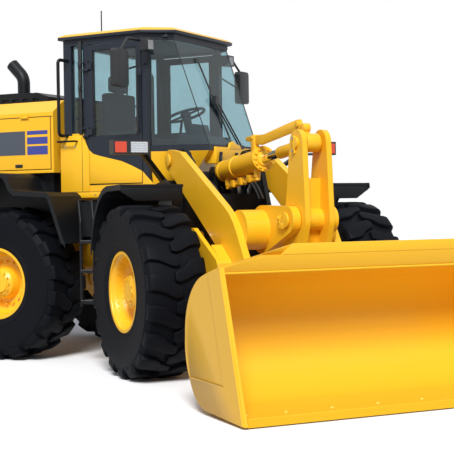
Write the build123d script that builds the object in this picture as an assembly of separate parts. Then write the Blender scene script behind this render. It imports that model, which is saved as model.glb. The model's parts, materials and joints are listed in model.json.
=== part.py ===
from build123d import *
import math
import os

# Wheel loader, articulated, about 11 t. Millimetres, +X forward along the rear frame, +Y to the
# machine's left, +Z up. The origin is on the ground under the articulation pin. The front half is
# modelled straight ahead and then turned about that pin by STEER, as the machine stands.

os.makedirs("parts", exist_ok=True)

# ------------------------------------------------------------------ driving sizes
STEER = -36.5            # degrees the front half is turned, to the right
WHEELBASE = 2840
TRACK = 1900             # between the middles of left and right tyres
TYRE_RADIUS = 735        # to the tips of the lugs
TYRE_WIDTH = 524
LUG_HEIGHT = 34
LUGS_PER_SIDE = 13
LUG_WIDTH = 84           # along the tread
LUG_OVERLAP = 22         # how far a lug runs past the middle
LUG_YAW = 12             # degrees a lug is turned from square across the tread
RIM_RADIUS = 345         # outside of the rim, which is the bore of the tyre
RIM_WIDTH = 450
HUB_RADIUS = 150
AXLE_END_RADIUS = 95     # stub that carries the wheel
AXLE_REACH = TRACK / 2 - 20
AXLE_PAD_HALF = 120      # half length of the pads between an axle and its frame
PAD_Z = 155              # underside of the frame pads above the axle line
TRUNNION_RADIUS = 85
RUN = 0.05               # radial clearance of a pin or rod in its bore
SEAT = 0.3               # gap between pieces that sit on each other
FACE_GAP = 5             # sideways gap between an eye and its ears

FRONT_AXLE_X = WHEELBASE / 2
REAR_AXLE_X = -WHEELBASE / 2
AXLE_Z = TYRE_RADIUS

# articulation
HINGE_TOP_Z = 1150
HINGE_LOW_Z = 520
HINGE_PIN_RADIUS = 40
HINGE_LUG_RADIUS = 105
HINGE_LUG_THICK = 60

# rear half
REAR_PLATE_Y = 345       # outer face of each long side plate
REAR_PLATE_THICK = 30
REAR_FRAME_END_X = -2780
FRAME_TOP_Z = 1250
FENDER_IN = TRACK / 2 - 233        # inner edge of the rear fenders
FENDER_OUT = TRACK / 2 + 262       # outer edge of all fenders
HOOD_BEAM_Y = TRACK / 2 - 290      # outer face of the beams that carry the hood
KNUCKLE = 60             # length of a door hinge's knuckle
HINGE_PIN = 6            # radius of a door hinge's pin
HOOD_FRONT_X = -1030
HOOD_REAR_X = -2900
HOOD_HALF_WIDTH = 750
HOOD_BOTTOM_Z = 1830
HOOD_SIDE_TOP_Z = 2395
HOOD_TOP_Z = 2520
HOOD_TOP_HALF_WIDTH = 560
PANEL = 25               # thickness of hood panels, doors and cab walls
REAR_END_X = -3040       # back of the counterweight

# cab
CAB_REAR_X = -930
CAB_HALF_REAR = 700
CAB_CORNER_X = -20       # A-pillar, where the side ends and the corner pane starts
CAB_HALF_FRONT = 712
CAB_NOSE_TOP_X = 223
CAB_NOSE_LOW_X = 570
CAB_NOSE_HALF_TOP = 520
CAB_NOSE_HALF_LOW = 490
COWL_LOW_X = 318
COWL_LOW_HALF = 430
CAB_FLOOR_Z = 1670
WINDOW_Z = 2130          # underside of the door windows
REAR_WALL_TOP_Z = 2170   # top of the walls behind the doors
CUSHION_Z = 2010         # underside of the seat cushion
FLOOR_THICK = 130        # cab floor with its skirt
CAB_SILL_Z = 2030        # underside of the windscreen
CAB_TOP_Z = 3080         # underside of the roof panel
ROOF_TOP_Z = 3150
PILLAR = 70
DOOR_REAR_X = -630
DOOR_GAP = 8
GLASS = 8

# front half (before it is turned)
TOWER_Y = 360            # outer face of each tower plate
TOWER_THICK = 40
BOOM_PIVOT = (780, 1870)
FENDER_FOOT = (640, 1570)   # X and Z of the bracket of a front fender
LAMP_FOOT = (640, 1640)     # X and Z of the foot of a headlamp
BUCKET_HINGE = (2920, 290)
ARM_OUT_Y = 470
ARM_THICK = 60
LIFT_BASE = (320, 820)
LIFT_EYE = (1500, 1175)
LIFT_Y = 515             # middle plane of each lift cylinder
EYE_WIDTH = 80
CHEEK_THICK = 40
TUBE_AXIS = (2120, 1250)
TUBE_RADIUS = 165
CRANK_PIVOT = (2570, 1330)
CRANK_TOP = (2600, 1940)
CRANK_LOW = (2410, 645)
CRANK_OUT_Y = 130
CRANK_THICK = 45
LINK_PIN = (2910, 575)
TILT_BASE = (905, 1757)
TILT_TUBE_RADIUS = 95
TILT_ROD_RADIUS = 38
LIFT_TUBE_RADIUS = 70
LIFT_ROD_RADIUS = 34
PIN_RADIUS = 32
LINK_END_RADIUS = 72
LINK_HALF = 70           # half thickness of the bucket link

# steering cylinders, seen from above
STEER_BASE = (-620, 300)
STEER_EYE = (330, 300)
STEER_Z = 660
STEER_TUBE_RADIUS = 45
STEER_ROD_RADIUS = 22
STEER_ROD_LENGTH = 610

# bucket
BUCKET_HALF_WIDTH = 1275
SIDE_PLATE = 26
EDGE_THICK = 30
LIP_CLEAR = 8            # cutting edge above the ground
LIP_X = 3990
EDGE_X = 3850            # seam between the floor and the cutting edge
GUARD_TOP_Z = 1180
GUARD_HALF = 700         # half length of the guard's highest part


# ------------------------------------------------------------------ helpers
def block(x0, x1, y0, y1, z0, z1):
    """Box between two places along each axis."""
    middle = ((x0 + x1) / 2, (y0 + y1) / 2, (z0 + z1) / 2)
    return Pos(*middle) * Box(abs(x1 - x0), abs(y1 - y0), abs(z1 - z0))


def side_plate(points, y0, y1):
    """Plate whose outline is given in X and Z, from y0 to y1."""
    outline = Polyline(*[(x, y0, z) for x, z in points], close=True)
    return extrude(make_face(outline), amount=y1 - y0, dir=(0, 1, 0))


def curved_plate(outline, y0, y1):
    """Plate whose outline is given in X and Z; a step given as a pair is an arc through its first point."""
    edges = []
    start = outline[0]
    for step in outline[1:] + outline[:1]:
        if isinstance(step, list):
            middle, end = step
            edges.append(ThreePointArc(*[(x, y0, z) for x, z in (start, middle, end)]))
        else:
            end = step
            edges.append(Line((start[0], y0, start[1]), (end[0], y0, end[1])))
        start = end
    return extrude(make_face(Wire(edges)), amount=y1 - y0, dir=(0, 1, 0))


def flat_plate(points, z0, z1):
    """Plate whose outline is given in X and Y, from z0 to z1."""
    outline = Polyline(*[(x, y, z0) for x, y in points], close=True)
    return extrude(make_face(outline), amount=z1 - z0, dir=(0, 0, 1))


def cross_plate(points, x0, x1):
    """Plate whose outline is given in Y and Z, from x0 to x1."""
    outline = Polyline(*[(x0, y, z) for y, z in points], close=True)
    return extrude(make_face(outline), amount=x1 - x0, dir=(1, 0, 0))


def bar(start, end, radius):
    """Round bar from one point to another."""
    start = Vector(*start)
    run = Vector(*end) - start
    place = Plane(origin=start, z_dir=run).location
    return place * Cylinder(radius, run.length, align=(Align.CENTER, Align.CENTER, Align.MIN))


def cross_bar(centre, y0, y1, radius):
    """Round bar along Y about a point given in X and Z."""
    return bar((centre[0], y0, centre[1]), (centre[0], y1, centre[1]), radius)


def upright_bar(centre, z0, z1, radius):
    """Round bar along Z about a point given in X and Y."""
    return bar((centre[0], centre[1], z0), (centre[0], centre[1], z1), radius)


def pipe(points, radius, bend):
    """Round bar along straight runs joined by arcs of one bend radius."""
    path = FilletPolyline(*points, radius=bend)
    start = Plane(origin=path @ 0, z_dir=path % 0)
    return sweep(start * Circle(radius), path=path)


def mirrored(solid):
    """The same piece on the other side of the machine."""
    return mirror(solid, about=Plane.XZ)


def pair(solid):
    """A piece and its mirror image, as one node."""
    return Part() + [solid, mirrored(solid)]


def along(start, end, distance):
    """Point at a distance from start towards end, in the plane they share."""
    run = math.dist(start, end)
    return tuple(a + (b - a) * distance / run for a, b in zip(start, end))


def tapered_link(first, first_radius, second, second_radius, y0, y1):
    """Flat bar with two round ends of different sizes, between y0 and y1."""
    run = math.dist(first, second)
    direction = math.atan2(second[1] - first[1], second[0] - first[0])
    lean = math.acos((first_radius - second_radius) / run)
    corners = []
    for centre, radius in ((first, first_radius), (second, second_radius)):
        for side in (1, -1):
            angle = direction + side * lean
            corners.append((centre[0] + radius * math.cos(angle), centre[1] + radius * math.sin(angle)))
    outline = [corners[0], corners[1], corners[3], corners[2]]
    web = side_plate(outline, y0, y1)
    return web + cross_bar(first, y0, y1, first_radius) + cross_bar(second, y0, y1, second_radius)


nodes = {}


# ------------------------------------------------------------------ wheels
def make_tyre():
    """Tyre of flat-faced segments, one for each lug, with deep lugs from both shoulders to the middle."""
    segments = 2 * LUGS_PER_SIDE
    step = 360 / segments
    half = TYRE_WIDTH / 2
    base = TYRE_RADIUS - LUG_HEIGHT
    bore = RIM_RADIUS - 10
    # columns: place across the tyre, radius
    section = [
        (-half + 36, bore), (-half, 0.76 * TYRE_RADIUS), (-half + 36, base), (half - 36, base),
        (half, 0.76 * TYRE_RADIUS), (half - 36, bore),
    ]
    run = TYRE_RADIUS * math.tan(math.radians(step / 2))
    outline = Polyline(*[(-run, y, radius) for y, radius in section], close=True)
    segment = extrude(make_face(outline), amount=2 * run, dir=(1, 0, 0))
    segment &= side_plate([(0, 0), (-run, TYRE_RADIUS), (run, TYRE_RADIUS)], -half, half)
    # columns: place across the tyre, radius
    section = [
        (LUG_OVERLAP, base - 10), (LUG_OVERLAP, TYRE_RADIUS - 1), (-half + 48, TYRE_RADIUS - 4),
        (-half + 14, TYRE_RADIUS - 34), (-half + 34, base - 14),
    ]
    outline = Polyline(*[(-LUG_WIDTH / 2, y, radius) for y, radius in section], close=True)
    lug = Rot(0, 0, LUG_YAW) * extrude(make_face(outline), amount=LUG_WIDTH, dir=(1, 0, 0))
    pieces = []
    for count in range(segments):
        side_lug = lug if count % 2 == 0 else mirrored(lug)
        pieces.append(Rot(0, count * step, 0) * segment)
        pieces.append(Rot(0, count * step, 0) * side_lug)
    tyre = Part() + pieces
    return tyre - cross_bar((0, 0), -half - 1, half + 1, RIM_RADIUS + SEAT)


def make_rim():
    """Rim with its flange and lock ring, dished disc and planetary hub, facing outwards along -Y."""
    outer = -RIM_WIDTH / 2
    # columns: place across the rim (outwards is negative), radius
    profile = [
        (-outer, 0),
        (-outer, RIM_RADIUS),
        (outer, RIM_RADIUS),
        (outer, RIM_RADIUS - 26),
        (outer + 20, RIM_RADIUS - 26),
        (outer + 24, RIM_RADIUS - 40),
        (outer + 120, RIM_RADIUS - 52),
        (outer + 165, RIM_RADIUS - 80),
        (outer + 175, HUB_RADIUS + 95),
        (outer + 165, HUB_RADIUS + 12),
        (outer + 110, HUB_RADIUS),
        (outer + 66, HUB_RADIUS - 14),
        (outer + 60, HUB_RADIUS - 60),
        (outer + 48, HUB_RADIUS - 64),
        (outer + 48, 0),
    ]
    face = make_face(Polyline(*[(0, y, radius) for y, radius in profile], close=True))
    rim = revolve(face, axis=Axis.Y)
    return rim - cross_bar((0, 0), 0, RIM_WIDTH, AXLE_END_RADIUS + RUN)


tyre = make_tyre()
rim = make_rim()
# columns: name, X of the axle, side (right is -1)
WHEELS = [
    ("front_right", FRONT_AXLE_X, -1),
    ("front_left", FRONT_AXLE_X, 1),
    ("rear_right", REAR_AXLE_X, -1),
    ("rear_left", REAR_AXLE_X, 1),
]
for name, x, side in WHEELS:
    place = Pos(x, side * TRACK / 2, AXLE_Z)
    facing = Rot(0, 0, 0) if side < 0 else Rot(0, 0, 180)
    nodes["tyre_" + name] = place * facing * tyre
    nodes["rim_" + name] = place * facing * rim


# ------------------------------------------------------------------ axles
def make_axle(x):
    """Axle housing with differential, tapering arms, brake drums and wheel stubs."""
    housing = Pos(x, 0, AXLE_Z) * Sphere(205)
    reach = TRACK / 2 - RIM_WIDTH / 2 - 12
    for side in (-1, 1):
        arm_face = Plane(origin=(x, side * 120, AXLE_Z), x_dir=(1, 0, 0), z_dir=(0, side, 0))
        end_face = Plane(origin=(x, side * (reach - 130), AXLE_Z), x_dir=(1, 0, 0), z_dir=(0, side, 0))
        arm = loft([arm_face * Rectangle(300, 300), end_face * Rectangle(210, 230)], ruled=True)
        drum = cross_bar((x, AXLE_Z), side * (reach - 130), side * reach, 190)
        stub = cross_bar((x, AXLE_Z), side * reach, side * AXLE_REACH, AXLE_END_RADIUS)
        housing = housing + arm + drum + stub
        housing += block(x - AXLE_PAD_HALF, x + AXLE_PAD_HALF, side * 200, side * 310,
                         AXLE_Z, AXLE_Z + PAD_Z - SEAT)
    for end in (-330, 330):
        housing += bar((x, 0, AXLE_Z), (x + end, 0, AXLE_Z), TRUNNION_RADIUS)
    return housing


nodes["front_axle"] = make_axle(FRONT_AXLE_X)
nodes["rear_axle"] = make_axle(REAR_AXLE_X)


# ------------------------------------------------------------------ rear frame
def make_rear_frame():
    inner = REAR_PLATE_Y - REAR_PLATE_THICK
    top = FRAME_TOP_Z
    arch = AXLE_Z + 235
    middle = REAR_AXLE_X
    outline = [
        (-330, top), (-330, 860), (middle + 470, 860), (middle + 300, arch), (middle - 300, arch),
        (middle - 480, 800), (REAR_FRAME_END_X, 800), (REAR_FRAME_END_X, top),
    ]
    plate = side_plate(outline, -REAR_PLATE_Y, -inner)
    frame = plate + mirrored(plate)
    frame += block(-350, -310, -inner, inner, 860, top)                 # front bulkhead
    frame += block(-350, -310, -150, 150, HINGE_LOW_Z - 90, 860)         # its lower tongue
    for x0 in (middle + 270, middle - 300):                              # axle carriers
        frame += block(x0, x0 + 30, -inner, inner, arch + 10, top - 40)
    frame += block(REAR_FRAME_END_X, REAR_FRAME_END_X + 40, -inner, inner, 800, top)
    # trunnion blocks that the axle housing hangs in
    for x0, x1 in ((middle + 230, middle + 310), (middle - 310, middle - 230)):
        frame += block(x0, x1, -150, 150, AXLE_Z - 125, arch + 40)
        frame -= bar((x0 - 1, 0, AXLE_Z), (x1 + 1, 0, AXLE_Z), TRUNNION_RADIUS + SEAT)
    # forks at both hinge pins, and the pins themselves
    for z in (HINGE_TOP_Z, HINGE_LOW_Z):
        reach = HINGE_LUG_THICK / 2 + FACE_GAP
        for z0 in (z - reach - 35, z + reach):
            fork = flat_plate([(-330, -150), (0, -HINGE_LUG_RADIUS), (0, HINGE_LUG_RADIUS), (-330, 150)],
                              z0, z0 + 35)
            frame += fork + upright_bar((0, 0), z0, z0 + 35, HINGE_LUG_RADIUS)
        frame += upright_bar((0, 0), z - reach - 45, z + reach + 45, HINGE_PIN_RADIUS)
    # clevis under each side plate for a steering cylinder
    for side in (-1, 1):
        x, y = STEER_BASE[0], side * STEER_BASE[1]
        hanger = block(x - 150, x - 70, y - 40, y + 40, STEER_Z - 65, 861)
        for z0 in (STEER_Z - 65, STEER_Z + 40 + FACE_GAP):
            hanger += block(x - 75, x, y - 40, y + 40, z0, z0 + 20)
            hanger += upright_bar((x, y), z0, z0 + 20, 40)
        hanger += upright_bar((x, y), STEER_Z - 60, STEER_Z + 60, 25)
        frame += hanger
    # outriggers that carry the hood frame
    for x0 in (-2600, -1350):
        frame += block(x0, x0 + 90, -HOOD_BEAM_Y, HOOD_BEAM_Y, top - 60, top)
    # cab supports: two cross beams over the side plates
    for x0, x1 in ((-880, -800), (-345, -275)):
        frame += block(x0, x1, -640, 640, top, CAB_FLOOR_Z - FLOOR_THICK - SEAT)
    return frame


nodes["rear_frame"] = make_rear_frame()
nodes["engine"] = block(-2550, -1300, -300, 300, FRAME_TOP_Z + SEAT, 2200)

# counterweight: a heavy casting that closes the back end, with a tow pin hole
TOW_PIN_RADIUS = 22
TOW_Z = 900


def make_counterweight():
    outline = [
        (REAR_FRAME_END_X - SEAT, -620), (-2500, -900), (-2500, -1150), (-2860, -1150), (REAR_END_X, -900),
        (REAR_END_X, 900), (-2860, 1150), (-2500, 1150), (-2500, 900), (REAR_FRAME_END_X - SEAT, 620),
    ]
    weight = flat_plate(outline, 1000, 1420)
    weight += block(REAR_END_X + 40, REAR_FRAME_END_X - SEAT, -500, 500, 760, 1000)
    pocket = block(REAR_END_X - 10, REAR_END_X + 170, -110, 110, TOW_Z - 50, TOW_Z + 40)
    weight -= pocket
    return weight - upright_bar((REAR_END_X + 100, 0), 700, 1100, TOW_PIN_RADIUS)


nodes["counterweight"] = make_counterweight()


# ------------------------------------------------------------------ hood
HOOD_DOOR_HINGE = (HOOD_HALF_WIDTH + 12, HOOD_SIDE_TOP_Z - 48)      # y and z of the axis
HOOD_DOOR_KNUCKLES = (-2600, -1400)
GRILLE_HINGE = (HOOD_REAR_X - 8 - PANEL - 10, HOOD_HALF_WIDTH - 38)  # x and y of the axis
GRILLE_KNUCKLES = (1950, 2250)


def hinge_lugs(lug, start):
    """Two lugs, one at each end of a knuckle that starts at the given place; lug takes both its ends."""
    return lug(start - 15, start - 1) + lug(start + KNUCKLE + 1, start + KNUCKLE + 15)


def make_hood():
    """Fixed top and front of the engine hood; its sides and back are doors."""
    half = HOOD_HALF_WIDTH
    outer = [
        (-half, HOOD_SIDE_TOP_Z), (-HOOD_TOP_HALF_WIDTH, HOOD_TOP_Z), (HOOD_TOP_HALF_WIDTH, HOOD_TOP_Z),
        (half, HOOD_SIDE_TOP_Z), (half, HOOD_SIDE_TOP_Z - 40), (-half, HOOD_SIDE_TOP_Z - 40),
    ]
    hood = cross_plate(outer, HOOD_REAR_X, HOOD_FRONT_X)
    hollow = [
        (-half + PANEL, HOOD_SIDE_TOP_Z - 5), (-HOOD_TOP_HALF_WIDTH, HOOD_TOP_Z - PANEL),
        (HOOD_TOP_HALF_WIDTH, HOOD_TOP_Z - PANEL), (half - PANEL, HOOD_SIDE_TOP_Z - 5),
        (half - PANEL, HOOD_SIDE_TOP_Z - 60), (-half + PANEL, HOOD_SIDE_TOP_Z - 60),
    ]
    hood -= cross_plate(hollow, HOOD_REAR_X + PANEL, HOOD_FRONT_X - PANEL)
    bottom = HOOD_BOTTOM_Z
    hood += block(HOOD_FRONT_X - PANEL, HOOD_FRONT_X, -half, half, bottom, HOOD_SIDE_TOP_Z)
    # corner posts at the back, and the sill that carries the hood
    for side in (-1, 1):
        hood += block(HOOD_REAR_X, HOOD_REAR_X + 60, side * (half - 60), side * half, bottom, HOOD_SIDE_TOP_Z)
        hood += block(HOOD_REAR_X, HOOD_FRONT_X, side * (half - 110), side * half, bottom - 30, bottom)
    hood += block(HOOD_REAR_X, HOOD_REAR_X + 60, -half, half, bottom - 30, bottom)
    # door hinges: lugs and pins along the top rail
    y, z = HOOD_DOOR_HINGE
    for x in HOOD_DOOR_KNUCKLES:
        hood += pair(hinge_lugs(lambda a, b: bar((a, -y, z), (b, -y, z), 10)
                                + block(a, b, -y - 10, -y + 10, z, z + 28)
                                + block(a, b, -y + 9, -half + 1, z + 10, z + 28), x))
        hood += pair(bar((x - 15, -y, z), (x + KNUCKLE + 15, -y, z), HINGE_PIN))
    # grille hinge on the left corner post
    x, y = GRILLE_HINGE
    for z in GRILLE_KNUCKLES:
        hood += hinge_lugs(lambda a, b: upright_bar((x, y), a, b, 10)
                           + block(x, HOOD_REAR_X + 1, y - 8, y + 10, a, b), z)
        hood += upright_bar((x, y), z - 15, z + KNUCKLE + 15, HINGE_PIN)
    return hood


nodes["hood"] = make_hood()
hood_beam = block(-2660, -1100, -HOOD_BEAM_Y, -HOOD_BEAM_Y + 90, FRAME_TOP_Z + SEAT, HOOD_BOTTOM_Z - 30 - SEAT)
FENDER_BRACKET_Z = AXLE_Z + TYRE_RADIUS + 291
for x0 in (REAR_AXLE_X - 430, REAR_AXLE_X - 30):
    hood_beam += block(x0, x0 + 60, -FENDER_IN + SEAT, -HOOD_BEAM_Y + 1, FENDER_BRACKET_Z, FENDER_BRACKET_Z + 30)
nodes["hood_frame"] = pair(hood_beam)
VENT_TOP_Z = HOOD_TOP_Z + 112
VENT_HALF_WIDTH = 470
EXHAUST_X = -1970
EXHAUST_RADIUS = 66


def make_intake_vent():
    """Black cover on the hood, sloping at both ends, with air slots along its sides."""
    # columns: X, height over the hood
    outline = [
        (-2700, SEAT), (-1290, SEAT), (-1290, 55), (-1420, 98), (-1700, 112), (-2120, 112), (-2560, 62), (-2700, 40),
    ]
    vent = side_plate([(x, HOOD_TOP_Z + height) for x, height in outline], -VENT_HALF_WIDTH, VENT_HALF_WIDTH)
    for x in range(-2400, -1400, 130):
        vent -= pair(block(x, x + 80, -VENT_HALF_WIDTH - 1, -VENT_HALF_WIDTH + 14, HOOD_TOP_Z + 22, HOOD_TOP_Z + 48))
    return vent


nodes["intake_vent"] = make_intake_vent()
nodes["exhaust"] = pipe([(EXHAUST_X, 0, VENT_TOP_Z + SEAT), (EXHAUST_X, 0, VENT_TOP_Z + 215),
                         (EXHAUST_X - 150, 0, VENT_TOP_Z + 365)], EXHAUST_RADIUS, 150)

door_sheet = block(HOOD_REAR_X + 68, HOOD_FRONT_X - PANEL - 8, -HOOD_HALF_WIDTH, -HOOD_HALF_WIDTH + PANEL,
                   HOOD_BOTTOM_Z + 8, HOOD_SIDE_TOP_Z - 48)
for x in HOOD_DOOR_KNUCKLES:
    hinge_y, hinge_z = HOOD_DOOR_HINGE
    door_sheet += bar((x, -hinge_y, hinge_z), (x + KNUCKLE, -hinge_y, hinge_z), 10)
    door_sheet += block(x, x + KNUCKLE, -hinge_y, -HOOD_HALF_WIDTH + 1, hinge_z - 10, hinge_z)
    door_sheet -= bar((x - 1, -hinge_y, hinge_z), (x + KNUCKLE + 1, -hinge_y, hinge_z), HINGE_PIN + RUN)
nodes["hood_door_right"] = door_sheet
nodes["hood_door_left"] = mirrored(door_sheet)
grille = block(HOOD_REAR_X - PANEL - 8, HOOD_REAR_X - 8, -700, 700, 1440, HOOD_SIDE_TOP_Z - 20)
for z in range(1560, 2260, 75):
    grille -= block(HOOD_REAR_X - PANEL - 9, HOOD_REAR_X - 7, -560, -15, z, z + 45)
    grille -= block(HOOD_REAR_X - PANEL - 9, HOOD_REAR_X - 7, 15, 560, z, z + 45)
for z in GRILLE_KNUCKLES:
    grille += upright_bar(GRILLE_HINGE, z, z + KNUCKLE, 10)
    grille += block(GRILLE_HINGE[0] - 10, HOOD_REAR_X - PANEL - 7, 640, GRILLE_HINGE[1], z, z + KNUCKLE)
    grille -= upright_bar(GRILLE_HINGE, z - 1, z + KNUCKLE + 1, HINGE_PIN + RUN)
nodes["rear_grille"] = grille


# ------------------------------------------------------------------ rear fenders, steps
def over_tyre(axle_x, outline):
    """Outline about a wheel, from shares of the tyre radius along X and heights over the tyre's top."""
    return [(axle_x + share * TYRE_RADIUS, AXLE_Z + TYRE_RADIUS + height) for share, height in outline]


def make_rear_fender():
    """Fender over a rear wheel: raised over the tyre, lower step in front, sloping flap."""
    # columns: share of the tyre radius in front of the axle, height over the tyre's top
    outer = [
        (1.150, -345), (1.120, -300), (0.930, 95), (0.875, 128), (0.350, 150), (0.315, 170), (0.240, 285),
        (0.205, 312), (0.130, 325), (-0.640, 325), (-0.720, 305), (-0.990, 175), (-1.030, 90),
    ]
    inner = [
        (-0.995, 92), (-0.945, 150), (-0.690, 272), (-0.625, 288), (0.105, 288), (0.165, 275), (0.195, 250),
        (0.265, 145), (0.330, 112), (0.850, 88), (0.890, 65), (1.075, -310), (1.100, -352),
    ]
    shell = side_plate(over_tyre(REAR_AXLE_X, outer + inner), -FENDER_OUT, -FENDER_IN)
    # turned-down outer flange
    lip = [(share, height - 45) for share, height in outer[:-1]]
    flange = side_plate(over_tyre(REAR_AXLE_X, outer[:-1] + list(reversed(lip))), -FENDER_OUT, -FENDER_OUT + 10)
    return shell + flange


nodes["rear_fenders"] = pair(make_rear_fender())


def make_ladder():
    """Steps in front of the rear fender: two bent rails and three treads."""
    rails = Part()
    for x in (-434, -287):
        rails += pipe([(x, -1150, 540), (x, -1150, 1320), (x - 70, -1080, 1520), (x - 70, -1000 - SEAT, 1520)], 14, 30)
    for z in (570, 850, 1120):
        rails += block(-434, -287, -1170, -1020, z, z + 25)
    return rails


nodes["ladders"] = pair(make_ladder())
nodes["side_tanks"] = pair(block(-560, -240, -1000, -640 - SEAT, 1180, CAB_FLOOR_Z - FLOOR_THICK - 20))


# ------------------------------------------------------------------ cab
def cab_plan(inset=0.0, nose=CAB_NOSE_TOP_X, nose_half=CAB_NOSE_HALF_TOP):
    """Half outline of the cab seen from above, mirrored into a closed list."""
    half = [
        (CAB_REAR_X + inset, CAB_HALF_REAR - inset), (CAB_CORNER_X, CAB_HALF_FRONT - inset),
        (nose - inset, nose_half - inset / 2),
    ]
    return [(x, -y) for x, y in half] + [(x, y) for x, y in reversed(half)]


def make_cab_roof():
    """Roof panel with a drip edge all round and a raised middle."""
    edge = cab_plan(-35)
    top = cab_plan(15)
    roof = flat_plate(edge, CAB_TOP_Z, CAB_TOP_Z + 32)
    slope = loft([Pos(0, 0, CAB_TOP_Z + 32) * make_face(Polyline(*edge, close=True)),
                  Pos(0, 0, ROOF_TOP_Z - 12) * make_face(Polyline(*top, close=True))], ruled=True)
    return roof + slope + flat_plate(cab_plan(110), ROOF_TOP_Z - 13, ROOF_TOP_Z)


nodes["cab_roof"] = make_cab_roof()


CAB_DOOR_HINGE = (DOOR_REAR_X - 4, CAB_HALF_FRONT + 14)  # x and y of the axis
CAB_DOOR_KNUCKLES = (2150, 2780)


def make_cab_frame():
    """Roof ring, pillars and windscreen sill; the doors fill the sides."""
    ring = flat_plate(cab_plan(), CAB_TOP_Z - 60, CAB_TOP_Z - SEAT)
    ring -= flat_plate(cab_plan(PILLAR), CAB_TOP_Z - 70, CAB_TOP_Z)
    frame = ring
    for side in (-1, 1):
        rear = block(CAB_REAR_X, CAB_REAR_X + 90, side * (CAB_HALF_REAR - 60), side * CAB_HALF_REAR,
                     CAB_FLOOR_Z + SEAT, CAB_TOP_Z - 55)
        b_pillar = block(DOOR_REAR_X - 70, DOOR_REAR_X - DOOR_GAP, side * (CAB_HALF_REAR - 60),
                         side * CAB_HALF_REAR, CAB_FLOOR_Z + SEAT, CAB_TOP_Z - 55)
        front = block(CAB_CORNER_X, CAB_CORNER_X + 70, side * (CAB_HALF_FRONT - 65), side * CAB_HALF_FRONT,
                      CAB_FLOOR_Z + SEAT, CAB_TOP_Z - 55)
        frame += rear + b_pillar + front
        x, y = CAB_DOOR_HINGE
        for z in CAB_DOOR_KNUCKLES:
            frame += hinge_lugs(lambda a, b: upright_bar((x, side * y), a, b, 12)
                                + block(x - 60, x, *sorted((side * (y + 8), side * (CAB_HALF_REAR - 1))), a, b), z)
            frame += upright_bar((x, side * y), z - 15, z + KNUCKLE + 15, HINGE_PIN)
    sill = flat_plate(cab_plan(0, CAB_NOSE_LOW_X, CAB_NOSE_HALF_LOW), CAB_SILL_Z - 60, CAB_SILL_Z)
    sill -= flat_plate(cab_plan(60, CAB_NOSE_LOW_X, CAB_NOSE_HALF_LOW), CAB_SILL_Z - 70, CAB_SILL_Z + 10)
    sill -= block(CAB_REAR_X - 10, CAB_CORNER_X, -800, 800, CAB_SILL_Z - 70, CAB_SILL_Z + 10)
    return frame + sill


nodes["cab_frame"] = make_cab_frame()


def make_cab_body():
    """Floor, rear lower wall and front lower wall of the cab."""
    body = flat_plate(cab_plan(0, COWL_LOW_X, COWL_LOW_HALF), CAB_FLOOR_Z - FLOOR_THICK, CAB_FLOOR_Z)
    body += block(CAB_REAR_X + 92, DOOR_REAR_X - 72, -CAB_HALF_REAR, -CAB_HALF_REAR + 40, CAB_FLOOR_Z, REAR_WALL_TOP_Z)
    body += block(CAB_REAR_X + 92, DOOR_REAR_X - 72, CAB_HALF_REAR - 40, CAB_HALF_REAR, CAB_FLOOR_Z, REAR_WALL_TOP_Z)
    body += block(CAB_REAR_X, CAB_REAR_X + 40, -CAB_HALF_REAR + 62, CAB_HALF_REAR - 62, CAB_FLOOR_Z, REAR_WALL_TOP_Z)
    return body


nodes["cab_body"] = make_cab_body()


def between(low_outline, low_z, top_outline, top_z):
    """Solid with straight sides from one flat outline to another above it."""
    low = Pos(0, 0, low_z) * make_face(Polyline(*low_outline, close=True))
    top = Pos(0, 0, top_z) * make_face(Polyline(*top_outline, close=True))
    return loft([low, top], ruled=True)


def make_cowl():
    """Skin under the windscreen and the corner panes, leaning in towards the floor."""
    low_z = CAB_FLOOR_Z + SEAT
    top_z = CAB_SILL_Z - 60 - SEAT
    skin = between(cab_plan(0, COWL_LOW_X, COWL_LOW_HALF), low_z,
                   cab_plan(0, CAB_NOSE_LOW_X, CAB_NOSE_HALF_LOW), top_z)
    skin -= between(cab_plan(PANEL, COWL_LOW_X, COWL_LOW_HALF), low_z - 1,
                    cab_plan(PANEL, CAB_NOSE_LOW_X, CAB_NOSE_HALF_LOW), top_z + 1)
    behind = CAB_CORNER_X + PILLAR + SEAT
    return skin - block(CAB_REAR_X - 10, behind, -CAB_HALF_FRONT - 10, CAB_HALF_FRONT + 10, low_z - 5, top_z + 5)


nodes["cowl"] = make_cowl()


def make_windscreen():
    """Flat centre pane between the two folds, leaning back."""
    def strip(nose, half):
        return [(nose - 12, -half), (nose - 12 + GLASS, -half), (nose - 12 + GLASS, half), (nose - 12, half)]
    return between(strip(CAB_NOSE_LOW_X, CAB_NOSE_HALF_LOW - 14), CAB_SILL_Z + SEAT,
                   strip(CAB_NOSE_TOP_X, CAB_NOSE_HALF_TOP - 14), CAB_TOP_Z - 60 - SEAT)


def make_corner_glass():
    """Pane between the A-pillar and the windscreen, on the right."""
    def strip(nose, half):
        start = CAB_CORNER_X + PILLAR + SEAT
        share = (start - CAB_CORNER_X) / (nose - CAB_CORNER_X)
        start_y = CAB_HALF_FRONT + share * (half - CAB_HALF_FRONT)
        return [(start, -start_y + 6), (nose - 4, -half + 2), (nose - 4, -half + 2 + GLASS),
                (start, -start_y + 6 + GLASS)]
    return between(strip(CAB_NOSE_LOW_X, CAB_NOSE_HALF_LOW), CAB_SILL_Z + SEAT,
                   strip(CAB_NOSE_TOP_X, CAB_NOSE_HALF_TOP), CAB_TOP_Z - 60 - SEAT)


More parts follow.
